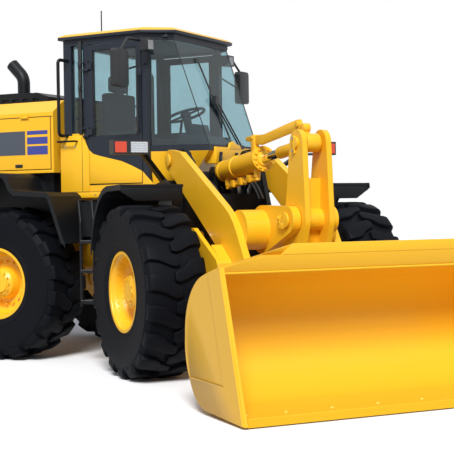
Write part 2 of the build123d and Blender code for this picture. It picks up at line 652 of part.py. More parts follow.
quarter_pane = block(CAB_REAR_X + 90 + SEAT, DOOR_REAR_X - 70 - SEAT, -CAB_HALF_REAR + 20,
                     -CAB_HALF_REAR + 20 + GLASS, REAR_WALL_TOP_Z + SEAT, CAB_TOP_Z - 60 - SEAT)
rear_pane = block(CAB_REAR_X + 20, CAB_REAR_X + 20 + GLASS, -CAB_HALF_REAR + 60 + SEAT,
                  CAB_HALF_REAR - 60 - SEAT, REAR_WALL_TOP_Z + SEAT, CAB_TOP_Z - 60 - SEAT)
corner_pane = make_corner_glass()
nodes["windscreen"] = make_windscreen()
nodes["cab_glass"] = Part() + [corner_pane, mirrored(corner_pane), quarter_pane, mirrored(quarter_pane), rear_pane]


def make_door():
    """Right-hand door: frame with its window opening, full height."""
    x0 = DOOR_REAR_X
    x1 = CAB_CORNER_X - DOOR_GAP
    outer = CAB_HALF_FRONT
    door = block(x0, x1, -outer, -outer + 40, CAB_FLOOR_Z + 4, CAB_TOP_Z - 68)
    window = block(x0 + 50, x1 - 50, -outer - 10, -outer + 50, WINDOW_Z, CAB_TOP_Z - 120)
    door -= window
    hinge_x, hinge_y = CAB_DOOR_HINGE
    for z in CAB_DOOR_KNUCKLES:
        door += upright_bar((hinge_x, -hinge_y), z, z + KNUCKLE, 12)
        door += block(hinge_x, x0 + 50, -hinge_y - 6, -outer + 1, z, z + KNUCKLE)
        door -= upright_bar((hinge_x, -hinge_y), z - 1, z + KNUCKLE + 1, HINGE_PIN + RUN)
    return door


nodes["door_right"] = make_door()
nodes["door_left"] = mirrored(make_door())
door_pane = block(DOOR_REAR_X + 50 + SEAT, CAB_CORNER_X - DOOR_GAP - 50 - SEAT, -CAB_HALF_FRONT + 15,
                  -CAB_HALF_FRONT + 15 + GLASS, WINDOW_Z + SEAT, CAB_TOP_Z - 120 - SEAT)
nodes["door_glass_right"] = door_pane
nodes["door_glass_left"] = mirrored(door_pane)

nodes["seat_base"] = block(-700, -300, -230, 230, CAB_FLOOR_Z + SEAT, CUSHION_Z)
seat = block(-740, -220, -250, 250, CUSHION_Z + SEAT, CUSHION_Z + 120)
nodes["seat"] = seat + block(-820, -700, -240, 240, CUSHION_Z + SEAT, CUSHION_Z + 770)


def make_steering_column():
    column = bar((180, 0, CAB_FLOOR_Z + 30), (40, 0, 2330), 40)
    foot = block(120, 240, -60, 60, CAB_FLOOR_Z + SEAT, CAB_FLOOR_Z + 60)
    wheel_place = Plane(origin=(30, 0, 2350), z_dir=(-0.3, 0, 0.95)).location
    ring = wheel_place * Torus(190, 14)
    spokes = wheel_place * (Box(380, 30, 14) + Cylinder(50, 40))
    return column + foot + ring + spokes


side_console = block(-600, -150, 280, 480, CAB_FLOOR_Z + SEAT, 2200)
nodes["cab_controls"] = Part() + [make_steering_column(), side_console]


# ------------------------------------------------------------------ small fittings of the rear half
def make_mirror():
    arm = pipe([(15, -CAB_HALF_FRONT - SEAT, 3000), (15, -1000, 3000), (40, -1170, 2850)], 12, 40)
    housing = block(5, 75, -1270, -1075, 2540, 2880)
    housing = fillet(housing.edges().filter_by(Axis.X), 35)
    return arm + housing - block(4, 11, -1255, -1090, 2560, 2860)


nodes["mirror_glass"] = pair(block(5, 11 - SEAT, -1255 + SEAT, -1090 - SEAT, 2560 + SEAT, 2860 - SEAT))


def make_work_lamps():
    lamp = block(46, 130, -CAB_HALF_FRONT - 128, -CAB_HALF_FRONT - 8, 2900, 3010)
    foot = block(20, 48, -CAB_HALF_FRONT - 30, -CAB_HALF_FRONT - SEAT, 2930, 2980)
    return lamp + foot - block(118, 131, -CAB_HALF_FRONT - 116, -CAB_HALF_FRONT - 20, 2912, 2998)


nodes["mirrors"] = Part() + [pair(make_mirror()), pair(make_work_lamps())]
nodes["work_lamp_lenses"] = pair(block(118 + SEAT, 128, -CAB_HALF_FRONT - 116 + SEAT, -CAB_HALF_FRONT - 20 - SEAT,
                                       2912 + SEAT, 2998 - SEAT))
nodes["tail_lamps"] = pair(block(REAR_END_X - 30, REAR_END_X - SEAT, -850, -650, 1200, 1300))
antenna = upright_bar((-750, -300), ROOF_TOP_Z + SEAT, 3410, 6)
grab_rail = pipe([(-885, -CAB_HALF_REAR - SEAT, 2880), (-885, -850, 2880), (-885, -850, 2150),
                  (-885, -CAB_HALF_REAR - SEAT, 2150)], 16, 40)
nodes["grab_rails"] = Part() + [grab_rail, mirrored(grab_rail), antenna]


# ------------------------------------------------------------------ front frame
def make_front_frame():
    inner = TOWER_Y - TOWER_THICK
    middle = FRONT_AXLE_X
    tower = [
        (200, 740), (200, 1250), (540, 1400), (660, 1890), (730, 1975), (850, 1975), (1040, 1850), (1250, 1300),
        (middle + 340, 1080), (middle + 340, AXLE_Z + 215), (middle - 320, AXLE_Z + 215), (middle - 520, 860),
        (460, 860), (400, 740),
    ]
    plate = side_plate(tower, -TOWER_Y, -inner)
    frame = plate + mirrored(plate)
    frame += block(200, 240, -inner, inner, 860, 1240)
    frame += block(200, 240, -150, 150, HINGE_LOW_Z - 60, 860)
    frame += block(600, 640, -inner, inner, 865, 1380)
    frame += block(middle + 280, middle + 320, -inner, inner, AXLE_Z + 220, 1080)
    frame += block(1000, 1030, -inner, inner, 1000, 1560)
    # lugs of the articulation
    for z in (HINGE_TOP_Z, HINGE_LOW_Z):
        z0 = z - HINGE_LUG_THICK / 2
        lug = flat_plate([(0, -HINGE_LUG_RADIUS), (220, -180), (220, 180), (0, HINGE_LUG_RADIUS)], z0,
                         z0 + HINGE_LUG_THICK)
        lug += upright_bar((0, 0), z0, z0 + HINGE_LUG_THICK, HINGE_LUG_RADIUS)
        frame += lug
        frame -= upright_bar((0, 0), z0 - 1, z0 + HINGE_LUG_THICK + 1, HINGE_PIN_RADIUS + RUN)
    # axle pads
    for side in (-1, 1):
        frame += block(middle - AXLE_PAD_HALF, middle + AXLE_PAD_HALF, side * 200, side * inner,
                       AXLE_Z + PAD_Z, AXLE_Z + 216)
    for side in (-1, 1):
        # boom pin, through the tower plate and out to the arm
        y_in = side * (inner - 40)
        frame += cross_bar(BOOM_PIVOT, y_in, side * (ARM_OUT_Y + 12), 45)
        frame += cross_bar(BOOM_PIVOT, y_in, side * (ARM_OUT_Y - ARM_THICK - FACE_GAP), 95)
        # lift cylinder pin
        frame += cross_bar(LIFT_BASE, side * (TOWER_Y - 5), side * (LIFT_Y + EYE_WIDTH / 2 + 20), PIN_RADIUS)
        frame += cross_bar(LIFT_BASE, side * (TOWER_Y - 5), side * (LIFT_Y - EYE_WIDTH / 2 - FACE_GAP), 46)
        # steering clevis
        x, y = STEER_EYE[0], side * STEER_EYE[1]
        for z0 in (STEER_Z - 65, STEER_Z + 40 + FACE_GAP):
            frame += flat_plate([(230, side * 100), (230, y), (x, y + side * 48), (x + 48, y), (x, y - side * 48)],
                                z0, z0 + 20) + upright_bar((x, y), z0, z0 + 20, 48)
    # yoke of the tilt cylinder
    for side in (-1, 1):
        y0 = side * (60 + FACE_GAP)
        y1 = y0 + side * 40
        yoke = [(TILT_BASE[0] - 55, 1500), (TILT_BASE[0] - 55, TILT_BASE[1]), (TILT_BASE[0] + 45, TILT_BASE[1]),
                (TILT_BASE[0] + 45, 1500)]
        y0, y1 = sorted((y0, y1))
        frame += side_plate(yoke, y0, y1) + cross_bar(TILT_BASE, y0, y1, 55)
    frame += block(840, 1030, -inner, inner, 1500, 1560)
    frame += cross_bar(TILT_BASE, -110, 110, 40)
    return frame


nodes["front_frame"] = make_front_frame()


def make_front_fender():
    """Arched fender over a front wheel, with its outer flange and the bracket to the tower plate."""
    # columns: share of the tyre radius in front of the axle, height over the tyre's top
    outer = [
        (-0.985, -395), (-0.965, -330), (-0.905, -190), (-0.800, -50), (-0.650, 75), (-0.500, 140), (-0.350, 165),
        (0.120, 172),
    ]
    inner = [
        (0.120, 148), (-0.340, 141), (-0.480, 118), (-0.620, 57), (-0.765, -63), (-0.870, -200), (-0.930, -338),
        (-0.950, -402),
    ]
    inner_y = TRACK / 2 - 310
    shell = side_plate(over_tyre(FRONT_AXLE_X, outer + inner), -FENDER_OUT, -inner_y)
    lip = [(share + 0.012, height - 48) for share, height in outer]
    flange = side_plate(over_tyre(FRONT_AXLE_X, outer + list(reversed(lip))), -FENDER_OUT, -FENDER_OUT + 10)
    # bracket behind the lift cylinder's sweep, and the runner that carries the shell
    x0, z0 = FENDER_FOOT
    bracket = block(x0, x0 + 75, -inner_y, -TOWER_Y - SEAT, z0, z0 + 40)
    runner = [(x0, z0), (x0, z0 + 40), (x0 + 460, z0 + 120)]
    runner += over_tyre(FRONT_AXLE_X, [(-0.280, 160), (-0.280, 150), (-0.560, 88)])
    return shell + flange + bracket + side_plate(runner, -inner_y - 10, -inner_y + 15)


nodes["front_fenders"] = pair(make_front_fender())


def make_headlamp():
    body = block(960, 1080, -1110, -770, 1915, 2040)
    x0, z0 = LAMP_FOOT
    foot = block(x0, x0 + 100, -485, -TOWER_Y - SEAT, z0, z0 + 50)
    low = [(x0, -485), (x0 + 100, -485), (x0 + 100, -440), (x0, -440)]
    top = [(930, -850), (1000, -850), (1000, -800), (930, -800)]
    stalk = between(low, z0 + 5, top, 1960)
    pockets = block(1068, 1081, -950, -790, 1930, 2025) + block(1068, 1081, -1098, -990, 1930, 2025)
    return body + stalk + foot - pockets


nodes["headlamps"] = pair(make_headlamp())
nodes["headlamp_lenses"] = pair(block(1068 + SEAT, 1078, -950 + SEAT, -790 - SEAT, 1930 + SEAT, 2025 - SEAT))
nodes["turn_lenses"] = pair(block(1068 + SEAT, 1082, -1098 + SEAT, -990 - SEAT, 1930 + SEAT, 2025 - SEAT))
nodes["control_valve"] = block(430, 600 - SEAT, -200, 200, 1000, 1300)


# ------------------------------------------------------------------ boom
def make_boom():
    arm = [
        (BOOM_PIVOT[0], 1970), (1030, 1937), (1960, 1447), (2060, 1385), (2140, 1310), (2210, 1215), (2330, 1030),
        (2560, 700), (2690, 580), (2960, 380), (2860, 205), (2170, 622), (2050, 720), (1950, 840), (1880, 945),
        (1810, 1105), (BOOM_PIVOT[0], 1770),
    ]
    inner = ARM_OUT_Y - ARM_THICK
    plate = side_plate(arm, -ARM_OUT_Y, -inner)
    plate += cross_bar(BOOM_PIVOT, -ARM_OUT_Y, -inner, 100)
    plate += cross_bar(BUCKET_HINGE, -ARM_OUT_Y, -inner, 95)
    # outer cheek with the closing web in front of the lift rod's eye
    cheek_in = LIFT_Y + EYE_WIDTH / 2 + FACE_GAP
    cheek_out = cheek_in + CHEEK_THICK
    cheek = [(LIFT_EYE[0], LIFT_EYE[1] + 90), (1620, 1265), (2080, 1010), (2240, 760), (2120, 640), (1880, 880),
             (LIFT_EYE[0], LIFT_EYE[1] - 90)]
    plate += side_plate(cheek, -cheek_out, -cheek_in)
    plate += side_plate([(1900, 1130), (2080, 1010), (2240, 760), (2120, 640), (1990, 770), (1900, 900)],
                        -cheek_in - 1, -ARM_OUT_Y + 1)
    plate += cross_bar(LIFT_EYE, -cheek_out, -cheek_in, 90)
    boom = plate + mirrored(plate)
    boom += cross_bar(TUBE_AXIS, -inner - 1, inner + 1, TUBE_RADIUS)
    # ears for the bell crank
    ear_in = CRANK_OUT_Y + FACE_GAP
    for side in (-1, 1):
        y0, y1 = sorted((side * ear_in, side * (ear_in + 70)))
        boom += tapered_link(TUBE_AXIS, 200, CRANK_PIVOT, 110, y0, y1)
    boom += cross_bar(CRANK_PIVOT, -ear_in - 85, ear_in + 85, 45)
    boom -= cross_bar(BOOM_PIVOT, -ARM_OUT_Y - 9, ARM_OUT_Y + 9, 45 + RUN)
    boom -= cross_bar(BUCKET_HINGE, -ARM_OUT_Y - 9, ARM_OUT_Y + 9, 40 + RUN)
    return boom


nodes["boom"] = make_boom()


# ------------------------------------------------------------------ bell crank and link
def make_crank():
    inner = CRANK_OUT_Y - CRANK_THICK
    crank = Part()
    for side in (-1, 1):
        y0, y1 = sorted((side * inner, side * CRANK_OUT_Y))
        crank += tapered_link(CRANK_PIVOT, 175, CRANK_TOP, 105, y0, y1)
        crank += tapered_link(CRANK_PIVOT, 175, CRANK_LOW, 95, y0, y1)
    crank += cross_bar(CRANK_PIVOT, -inner, inner, 90)
    web_low = along(CRANK_PIVOT, CRANK_LOW, 240)
    web_top = along(CRANK_PIVOT, CRANK_TOP, 330)
    crank += side_plate([(web_low[0] - 20, web_low[1] + 14), (web_low[0] + 20, web_low[1] - 14),
                         (CRANK_PIVOT[0] + 20, CRANK_PIVOT[1] - 14), (CRANK_PIVOT[0] - 20, CRANK_PIVOT[1] + 14)],
                        -inner, inner)
    crank += side_plate([(CRANK_PIVOT[0] - 20, CRANK_PIVOT[1]), (CRANK_PIVOT[0] + 20, CRANK_PIVOT[1]),
                         (web_top[0] + 20, web_top[1]), (web_top[0] - 20, web_top[1])], -inner, inner)
    crank -= cross_bar(CRANK_PIVOT, -200, 200, 45 + RUN)
    return crank


nodes["bell_crank"] = make_crank()
link = tapered_link(CRANK_LOW, LINK_END_RADIUS, LINK_PIN, LINK_END_RADIUS, -LINK_HALF, LINK_HALF)
nodes["bucket_link"] = link - cross_bar(LINK_PIN, -LINK_HALF - 1, LINK_HALF + 1, PIN_RADIUS + RUN)


# ------------------------------------------------------------------ bucket
def make_bucket():
    """Curved back and floor between two side plates, spill guard on top, ears at the back."""
    half = BUCKET_HALF_WIDTH - SIDE_PLATE
    # from the lip along the floor, round the back and out to the top edge
    outside = [(EDGE_X, LIP_CLEAR + 2), (3374, 36), [(3150, 165), (3030, 531)], [(3101, 774), (3350, 957)],
               (3538, 1003), (3550, 1060), (3572, 1060), (EDGE_X, LIP_CLEAR + EDGE_THICK)]
    inside = [(EDGE_X, LIP_CLEAR + EDGE_THICK), (3380, 58), [(3165, 180), (3052, 530)],
              [(3120, 760), (3360, 935)], (3560, 985), (3572, 1060), (LIP_X, 1060),
              (LIP_X, LIP_CLEAR + EDGE_THICK)]
    bucket = curved_plate(outside, -half, half)
    # spill guard, highest between its sloping ends
    guard = cross_plate([(-half, 1030), (-GUARD_HALF, GUARD_TOP_Z), (GUARD_HALF, GUARD_TOP_Z), (half, 1030)],
                        3500, 3620)
    bucket += guard & side_plate([(3550, 1020), (3572, 1020), (3604, GUARD_TOP_Z + 1), (3582, GUARD_TOP_Z + 1)],
                                 -half, half)
    side = [(LIP_X, LIP_CLEAR + 6), (3374, 32), [(3140, 158), (3018, 531)], [(3090, 782), (3346, 970)],
            (3534, 1020), (3652, 1040)]
    plate = curved_plate(side, -BUCKET_HALF_WIDTH, -half)
    # wear plates outside: along the bottom corner and behind the front edge
    wear = [(LIP_X - 12, LIP_CLEAR + 10), (3376, 37), [(3221, 96), (3108, 243)], (3740, 243)]
    front = [(LIP_X - 12, LIP_CLEAR + 10), (3742, 60), (3452, 990), (3648, 1034)]
    plate += curved_plate(wear, -BUCKET_HALF_WIDTH - 10, -BUCKET_HALF_WIDTH + 1)
    plate += side_plate(front, -BUCKET_HALF_WIDTH - 10, -BUCKET_HALF_WIDTH + 1)
    bucket += plate + mirrored(plate)
    # ears for the two boom arms and for the link
    ear_gap = 6
    arm_in = ARM_OUT_Y - ARM_THICK - ear_gap
    arm_out = ARM_OUT_Y + ear_gap
    ear = [(BUCKET_HINGE[0] - 20, BUCKET_HINGE[1] + 90), (3090, 700), (3100, 160), (BUCKET_HINGE[0] + 20,
           BUCKET_HINGE[1] - 95)]
    for side in (-1, 1):
        for inner_face, outer_face in ((arm_in - 40, arm_in), (arm_out, arm_out + 40)):
            y0, y1 = sorted((side * inner_face, side * outer_face))
            bucket += side_plate(ear, y0, y1) + cross_bar(BUCKET_HINGE, y0, y1, 92)
        y0, y1 = sorted((side * (arm_in - 45), side * (arm_out + 52)))
        bucket += cross_bar(BUCKET_HINGE, y0, y1, 40)
        y0, y1 = sorted((side * (LINK_HALF + FACE_GAP), side * (LINK_HALF + FACE_GAP + 40)))
        link_ear = [(LINK_PIN[0], LINK_PIN[1] + LINK_END_RADIUS), (3130, 790), (3060, 440),
                    (LINK_PIN[0], LINK_PIN[1] - LINK_END_RADIUS)]
        bucket += side_plate(link_ear, y0, y1) + cross_bar(LINK_PIN, y0, y1, LINK_END_RADIUS)
    ear_out = LINK_HALF + FACE_GAP + 40
    bucket += cross_bar(LINK_PIN, -ear_out - 12, ear_out + 12, PIN_RADIUS)
    return bucket - curved_plate(inside, -half, half)


nodes["bucket"] = make_bucket()
edge_half = BUCKET_HALF_WIDTH - SIDE_PLATE - SEAT
nodes["cutting_edge"] = side_plate(
    [(EDGE_X + SEAT, LIP_CLEAR), (LIP_X - 12, LIP_CLEAR), (EDGE_X + SEAT, LIP_CLEAR + EDGE_THICK)], -edge_half, edge_half)


# ------------------------------------------------------------------ cylinders
def make_cylinder(base, eye, y, tube_radius, rod_radius, tube_length, eye_width, pin_radius):
    """Tube with its rear eye and gland, and the rod with its own eye, about a line in X and Z."""
    half = eye_width / 2
    eye_radius = pin_radius + 33
    start = along(base, eye, eye_radius - 12)
    end = along(base, eye, tube_length)
    gland = along(base, eye, tube_length - 60)
    rod_start = along(base, eye, tube_length - 220)
    rod_end = along(base, eye, math.dist(base, eye) - eye_radius + 14)
    tube = bar((start[0], y, start[1]), (end[0], y, end[1]), tube_radius)
    tube += cross_bar(base, y - half, y + half, eye_radius)
    tube += bar((gland[0], y, gland[1]), (end[0], y, end[1]), tube_radius + 14)
    tube -= cross_bar(base, y - half - 1, y + half + 1, pin_radius + RUN)
    room = along(base, eye, eye_radius + 60)
    tube -= bar((room[0], y, room[1]), (gland[0], y, gland[1]), tube_radius - 14)
    tube -= bar((gland[0], y, gland[1]), (end[0], y, end[1]), rod_radius + RUN)
    rod = bar((rod_start[0], y, rod_start[1]), (rod_end[0], y, rod_end[1]), rod_radius)
    rod += cross_bar(eye, y - half, y + half, eye_radius)
    return tube, rod


lift_tube, lift_rod = make_cylinder(LIFT_BASE, LIFT_EYE, -LIFT_Y, LIFT_TUBE_RADIUS, LIFT_ROD_RADIUS,
                                    1040, EYE_WIDTH, PIN_RADIUS)
nodes["lift_cylinders"] = pair(lift_tube)
nodes["lift_rods"] = pair(lift_rod)
tilt_tube, tilt_rod = make_cylinder(TILT_BASE, CRANK_TOP, 0, TILT_TUBE_RADIUS, TILT_ROD_RADIUS, 875, 120, 40)
nodes["tilt_cylinder"] = tilt_tube
# bar of the bucket positioner, carried by the rod's eye
positioner = [(2590, 2000), (2530, 2128), (2490, 2128), (2350, 2062), (1840, 1992), (1550, 2042), (1545, 2014),
              (1836, 1962), (2360, 2028), (2500, 2060), (2555, 1985)]
nodes["tilt_rod"] = tilt_rod + side_plate(positioner, -58, -38)

FRONT_HALF = [
    "tyre_front_right", "tyre_front_left", "rim_front_right", "rim_front_left", "front_axle", "front_frame",
    "front_fenders", "headlamps", "headlamp_lenses", "turn_lenses", "control_valve", "boom", "bell_crank",
    "bucket_link", "bucket", "cutting_edge", "lift_cylinders", "lift_rods", "tilt_cylinder", "tilt_rod",
]
turn = Rot(0, 0, STEER)
for name in FRONT_HALF:
    nodes[name] = turn * nodes[name]


# ------------------------------------------------------------------ steering cylinders
def turned(point, degrees):
    """Point seen from above, turned about the articulation pin."""
    angle = math.radians(degrees)
    x, y = point
    return (x * math.cos(angle) - y * math.sin(angle), x * math.sin(angle) + y * math.cos(angle))


for name, side in (("right", -1), ("left", 1)):
    base = (STEER_BASE[0], side * STEER_BASE[1])
    eye = turned((STEER_EYE[0], side * STEER_EYE[1]), STEER)
    base_3d = (*base, STEER_Z)
    half = 40
    tube_end = along(base, eye, 575)
    gland = along(base, eye, 535)
    room = along(base, eye, 100)
    rod_start = along(base, eye, math.dist(base, eye) - STEER_ROD_LENGTH)
    rod_end = along(base, eye, math.dist(base, eye) - 35)
    start = along(base, eye, 40)
    tube = bar((*start, STEER_Z), (*tube_end, STEER_Z), STEER_TUBE_RADIUS)
    tube += upright_bar(base, STEER_Z - half, STEER_Z + half, 50)
    tube -= upright_bar(base, STEER_Z - half - 1, STEER_Z + half + 1, 25 + RUN)
    tube -= bar((*room, STEER_Z), (*gland, STEER_Z), STEER_TUBE_RADIUS - 10)
    tube -= bar((*gland, STEER_Z), (*tube_end, STEER_Z), STEER_ROD_RADIUS + RUN)
    rod = bar((*rod_start, STEER_Z), (*rod_end, STEER_Z), STEER_ROD_RADIUS)
    rod += upright_bar(eye, STEER_Z - half, STEER_Z + half, 45)
    nodes["steering_cylinder_" + name] = tube
    nodes["steering_rod_" + name] = rod

for name, solid in nodes.items():
    export_step(solid, "parts/" + name + ".step")
print(len(nodes), "nodes")
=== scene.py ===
import json
import math

import bmesh
import bpy
from bpy.props import FloatProperty, FloatVectorProperty, IntProperty, PointerProperty
from mathutils import Matrix, Vector


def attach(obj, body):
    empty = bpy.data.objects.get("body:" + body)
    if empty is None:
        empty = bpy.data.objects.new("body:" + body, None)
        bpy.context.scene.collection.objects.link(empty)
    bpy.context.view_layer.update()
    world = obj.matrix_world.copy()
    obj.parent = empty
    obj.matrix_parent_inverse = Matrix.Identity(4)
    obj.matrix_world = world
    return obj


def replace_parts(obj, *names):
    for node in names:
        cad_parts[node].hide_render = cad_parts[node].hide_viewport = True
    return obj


bl_info = {
    "name": "Wheel loader dressing",
    "version": (1, 0, 0),
    "blender": (4, 5, 0),
    "location": "3D View > Sidebar > Loader",
    "description": "Paint, tyres, hoses, trim and small fittings of an articulated wheel loader",
    "category": "Object",
}

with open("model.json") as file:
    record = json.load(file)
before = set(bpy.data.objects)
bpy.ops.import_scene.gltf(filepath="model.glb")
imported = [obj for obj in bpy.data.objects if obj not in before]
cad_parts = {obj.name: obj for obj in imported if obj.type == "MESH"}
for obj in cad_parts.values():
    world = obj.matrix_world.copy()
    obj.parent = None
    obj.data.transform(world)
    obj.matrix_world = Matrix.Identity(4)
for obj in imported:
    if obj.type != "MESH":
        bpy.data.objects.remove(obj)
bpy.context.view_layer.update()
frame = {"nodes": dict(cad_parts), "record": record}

# ---- sizes, millimetres
STEER = math.radians(-36.5)   # the front half stands turned to the right
HALF_BASE = 1420              # from the articulation pin to each axle
HALF_TRACK = 950
TYRE_R = 735
FRONT_TURN = Matrix.Rotation(STEER, 4, "Z")
MM = Matrix.Scale(0.001, 4)
STILL = Matrix.Identity(4)
FLIP = Matrix.Diagonal((1, -1, 1, 1))   # mirror image across the middle of the machine
SIDES = {"right": -1, "left": 1}
SHARP = 35                    # degrees: steeper edges are shaded sharp, and bevelled where a piece asks for it


# ---- settings
def linear(hex_code):
    """sRGB hex to linear RGBA."""
    channels = [int(hex_code[i:i + 2], 16) / 255 for i in (1, 3, 5)]
    return tuple(c / 12.92 if c <= 0.04045 else ((c + 0.055) / 1.055) ** 2.4 for c in channels) + (1.0,)


def colour(name, description, hex_code):
    """Colour property with its default from an sRGB hex code."""
    return FloatVectorProperty(name=name, description=description, subtype="COLOR", size=4, min=0, max=1,
                               default=linear(hex_code))


class LoaderColours(bpy.types.PropertyGroup):
    paint: colour("Paint", "Enamel of the body, rims and boom", "#F5B920")
    # the bucket's colour is set a little darker than the paint as painted shade
    bucket: colour("Bucket", "Duller enamel of the bucket", "#ECB528")
    dark: colour("Frame", "Enamel of the frames, fenders and steps", "#0F1114")
    cab: colour("Cab", "Enamel of the cab's pillars and doors", "#1C222C")
    glass: colour("Glass", "Tint of the cab's glass", "#DBE9EC")
    rubber: colour("Rubber", "Tyre rubber", "#0D0F14")
    seat: colour("Seat", "Vinyl of the operator's seat", "#1D1F23")
    stripe: colour("Stripes", "Film of the three stripes on each hood door", "#27348B")
    plate: colour("Plate", "Film of the blank plate on each hood door", "#3B424E")


class LoaderTyres(bpy.types.PropertyGroup):
    lugs: IntProperty(name="Lugs", description="Lugs on each half of a tread", default=18, min=10, max=26)
    nuts: IntProperty(name="Wheel nuts", description="Nuts round each rim", default=16, min=8, max=24)
    bolts: IntProperty(name="Hub bolts", description="Bolts round each hub", default=12, min=6, max=18)


class LoaderHood(bpy.types.PropertyGroup):
    louvres: IntProperty(name="Louvres", description="Slats across the intake on the hood", default=12, min=4, max=16)
    film: FloatProperty(name="Film", description="Thickness of stripes and plate", default=0.0016, min=0.0004,
                        max=0.004, unit="LENGTH")


class LoaderLinkage(bpy.types.PropertyGroup):
    hose: FloatProperty(name="Hose radius", description="Outer radius of the hydraulic hoses", default=0.015,
                        min=0.006, max=0.022, unit="LENGTH")
    bolts: IntProperty(name="Gland bolts", description="Bolts round the tilt cylinder's gland", default=12, min=6,
                       max=18)


class LoaderBucket(bpy.types.PropertyGroup):
    bolt: FloatProperty(name="Bolt radius", description="Heads of the bolts in the cutting edge", default=0.026,
                        min=0.01, max=0.03, unit="LENGTH")
    weld: FloatProperty(name="Weld radius", description="Weld bead under the spill guard", default=0.009,
                        min=0.003, max=0.014, unit="LENGTH")


class LoaderStage(bpy.types.PropertyGroup):
    key: FloatProperty(name="Key light", description="Strength of the soft sun", default=3.9, min=0, max=10)
    spread: FloatProperty(name="Softness", description="Angle that the key light spreads over",
                          default=math.radians(20), min=0, max=math.pi, unit="ROTATION", subtype="ANGLE")
    sky: FloatProperty(name="Sky light", description="Strength of the light from all round", default=0.33, min=0,
                       max=3)
    reach: FloatProperty(name="Floor", description="Half width of the floor", default=40, min=10, max=200,
                         unit="LENGTH")


# ---- material helpers
def add(tree, kind, links=(), values=(), **settings):
    """Adds a node: settings are its properties, values its inputs, links (socket, from_node, output)."""
    made = tree.nodes.new(kind)
    for key, value in settings.items():
        setattr(made, key, value)
    for socket, value in dict(values).items():
        made.inputs[socket].default_value = value
    for socket, source, output in links:
        tree.links.new(source.outputs[output], made.inputs[socket])
    return made


def finish(name, colour, roughness, metallic=0.0, grain_mm=0.0, bump=0.0, round_mm=0.0, **sockets):
    """Principled material with an optional fine bump in object space and rounded edges."""
    material = bpy.data.materials.new(name)
    material.use_nodes = True
    tree = material.node_tree
    shader = tree.nodes["Principled BSDF"]
    shader.inputs["Base Color"].default_value = colour
    shader.inputs["Roughness"].default_value = roughness
    shader.inputs["Metallic"].default_value = metallic
    for key, value in sockets.items():
        shader.inputs[key.replace("_", " ")].default_value = value
    normal = None
    if round_mm:
        normal = add(tree, "ShaderNodeBevel", values={"Radius": round_mm / 1000}, samples=4)
    if bump:
        place = add(tree, "ShaderNodeTexCoord")
        noise = add(tree, "ShaderNodeTexNoise", links=[("Vector", place, "Object")],
                    values={"Scale": 1000 / grain_mm, "Detail": 3.0})
        links = [("Height", noise, "Fac")]
        if normal:
            links.append(("Normal", normal, "Normal"))
        normal = add(tree, "ShaderNodeBump", links=links, values={"Strength": 1.0, "Distance": bump / 1000})
    if normal:
        tree.links.new(normal.outputs["Normal"], shader.inputs["Normal"])
    return material


MATERIALS = {}


def make_materials(colours):
    """All finishes of the machine, each named for the real one."""
    m = MATERIALS
    # two-pack enamel sprayed on steel: glossy, with faint orange peel
    m["enamel"] = finish("yellow_enamel", colours.paint, 0.4, grain_mm=9, bump=0.03, round_mm=5,
                         Coat_Weight=0.15, Coat_Roughness=0.15, Specular_IOR_Level=0.35)
    # the same enamel on the working faces of the bucket, a little duller, and a little darker as painted shade
    m["dull_shaded_bucket_enamel"] = finish("dull_shaded_bucket_enamel", colours.bucket, 0.45, grain_mm=14, bump=0.05, round_mm=5,
                                Coat_Weight=0.1, Coat_Roughness=0.2, Specular_IOR_Level=0.3)
    # satin charcoal enamel of frames and fenders
    m["dark_enamel"] = finish("charcoal_enamel", colours.dark, 0.45, grain_mm=8, bump=0.04, round_mm=5,
                              Specular_IOR_Level=0.2)
    # blue-grey enamel of the cab pillars
    m["cab_enamel"] = finish("slate_enamel", colours.cab, 0.42, grain_mm=8, bump=0.04, round_mm=4,
                             Specular_IOR_Level=0.3)
    # moulded ABS of mirrors, lamps and covers
    m["abs"] = finish("black_abs", linear("#121316"), 0.5, grain_mm=2.5, bump=0.06, round_mm=4)
    # moulded natural rubber, nearly without shine
    m["tyre"] = finish("tyre_rubber", colours.rubber, 0.55, grain_mm=6, bump=0.12, Specular_IOR_Level=0.07)
    m["hose"] = finish("hose_rubber", linear("#121316"), 0.5, grain_mm=3, bump=0.08)
    # hard chrome on ground steel rods
    m["chrome"] = finish("hard_chrome", linear("#D9DCDF"), 0.1, metallic=1.0)
    m["zinc"] = finish("zinc_plated_steel", linear("#A9ABAA"), 0.35, metallic=1.0, grain_mm=4, bump=0.03)
    m["exhaust"] = finish("painted_exhaust_steel", linear("#23252A"), 0.42, grain_mm=6, bump=0.05)
    m["soot"] = finish("soot", linear("#050505"), 0.9)
    m["stripe"] = finish("blue_film", colours.stripe, 0.3, Coat_Weight=0.4)
    m["plate"] = finish("grey_film", colours.plate, 0.35, Coat_Weight=0.3)
    m["vinyl"] = finish("seat_vinyl", colours.seat, 0.6, grain_mm=3, bump=0.15)
    m["interior"] = finish("cab_lining", linear("#2A2E35"), 0.7, grain_mm=3, bump=0.1)
    m["seal"] = finish("glazing_rubber", linear("#0D0E10"), 0.6)
    m["reflector"] = finish("lamp_reflector", linear("#E6EAEE"), 0.12, metallic=1.0)
    m["lens"] = finish("clear_lens", linear("#F2F6FA"), 0.05, Transmission_Weight=0.85, IOR=1.49)
    m["amber"] = finish("amber_lens", linear("#E8441A"), 0.15, Coat_Weight=0.6, Transmission_Weight=0.25, IOR=1.49)
    m["red"] = finish("red_lens", linear("#B31210"), 0.15, Coat_Weight=0.6, Transmission_Weight=0.25, IOR=1.49)
    m["mirror"] = finish("silvered_mirror", linear("#E8EAEC"), 0.03, metallic=1.0)
    m["glass"] = tinted_glass("tinted_glass", colours.glass)
    m["cast"] = finish("cast_iron", linear("#3B3C3E"), 0.7, metallic=0.3, grain_mm=4, bump=0.3)


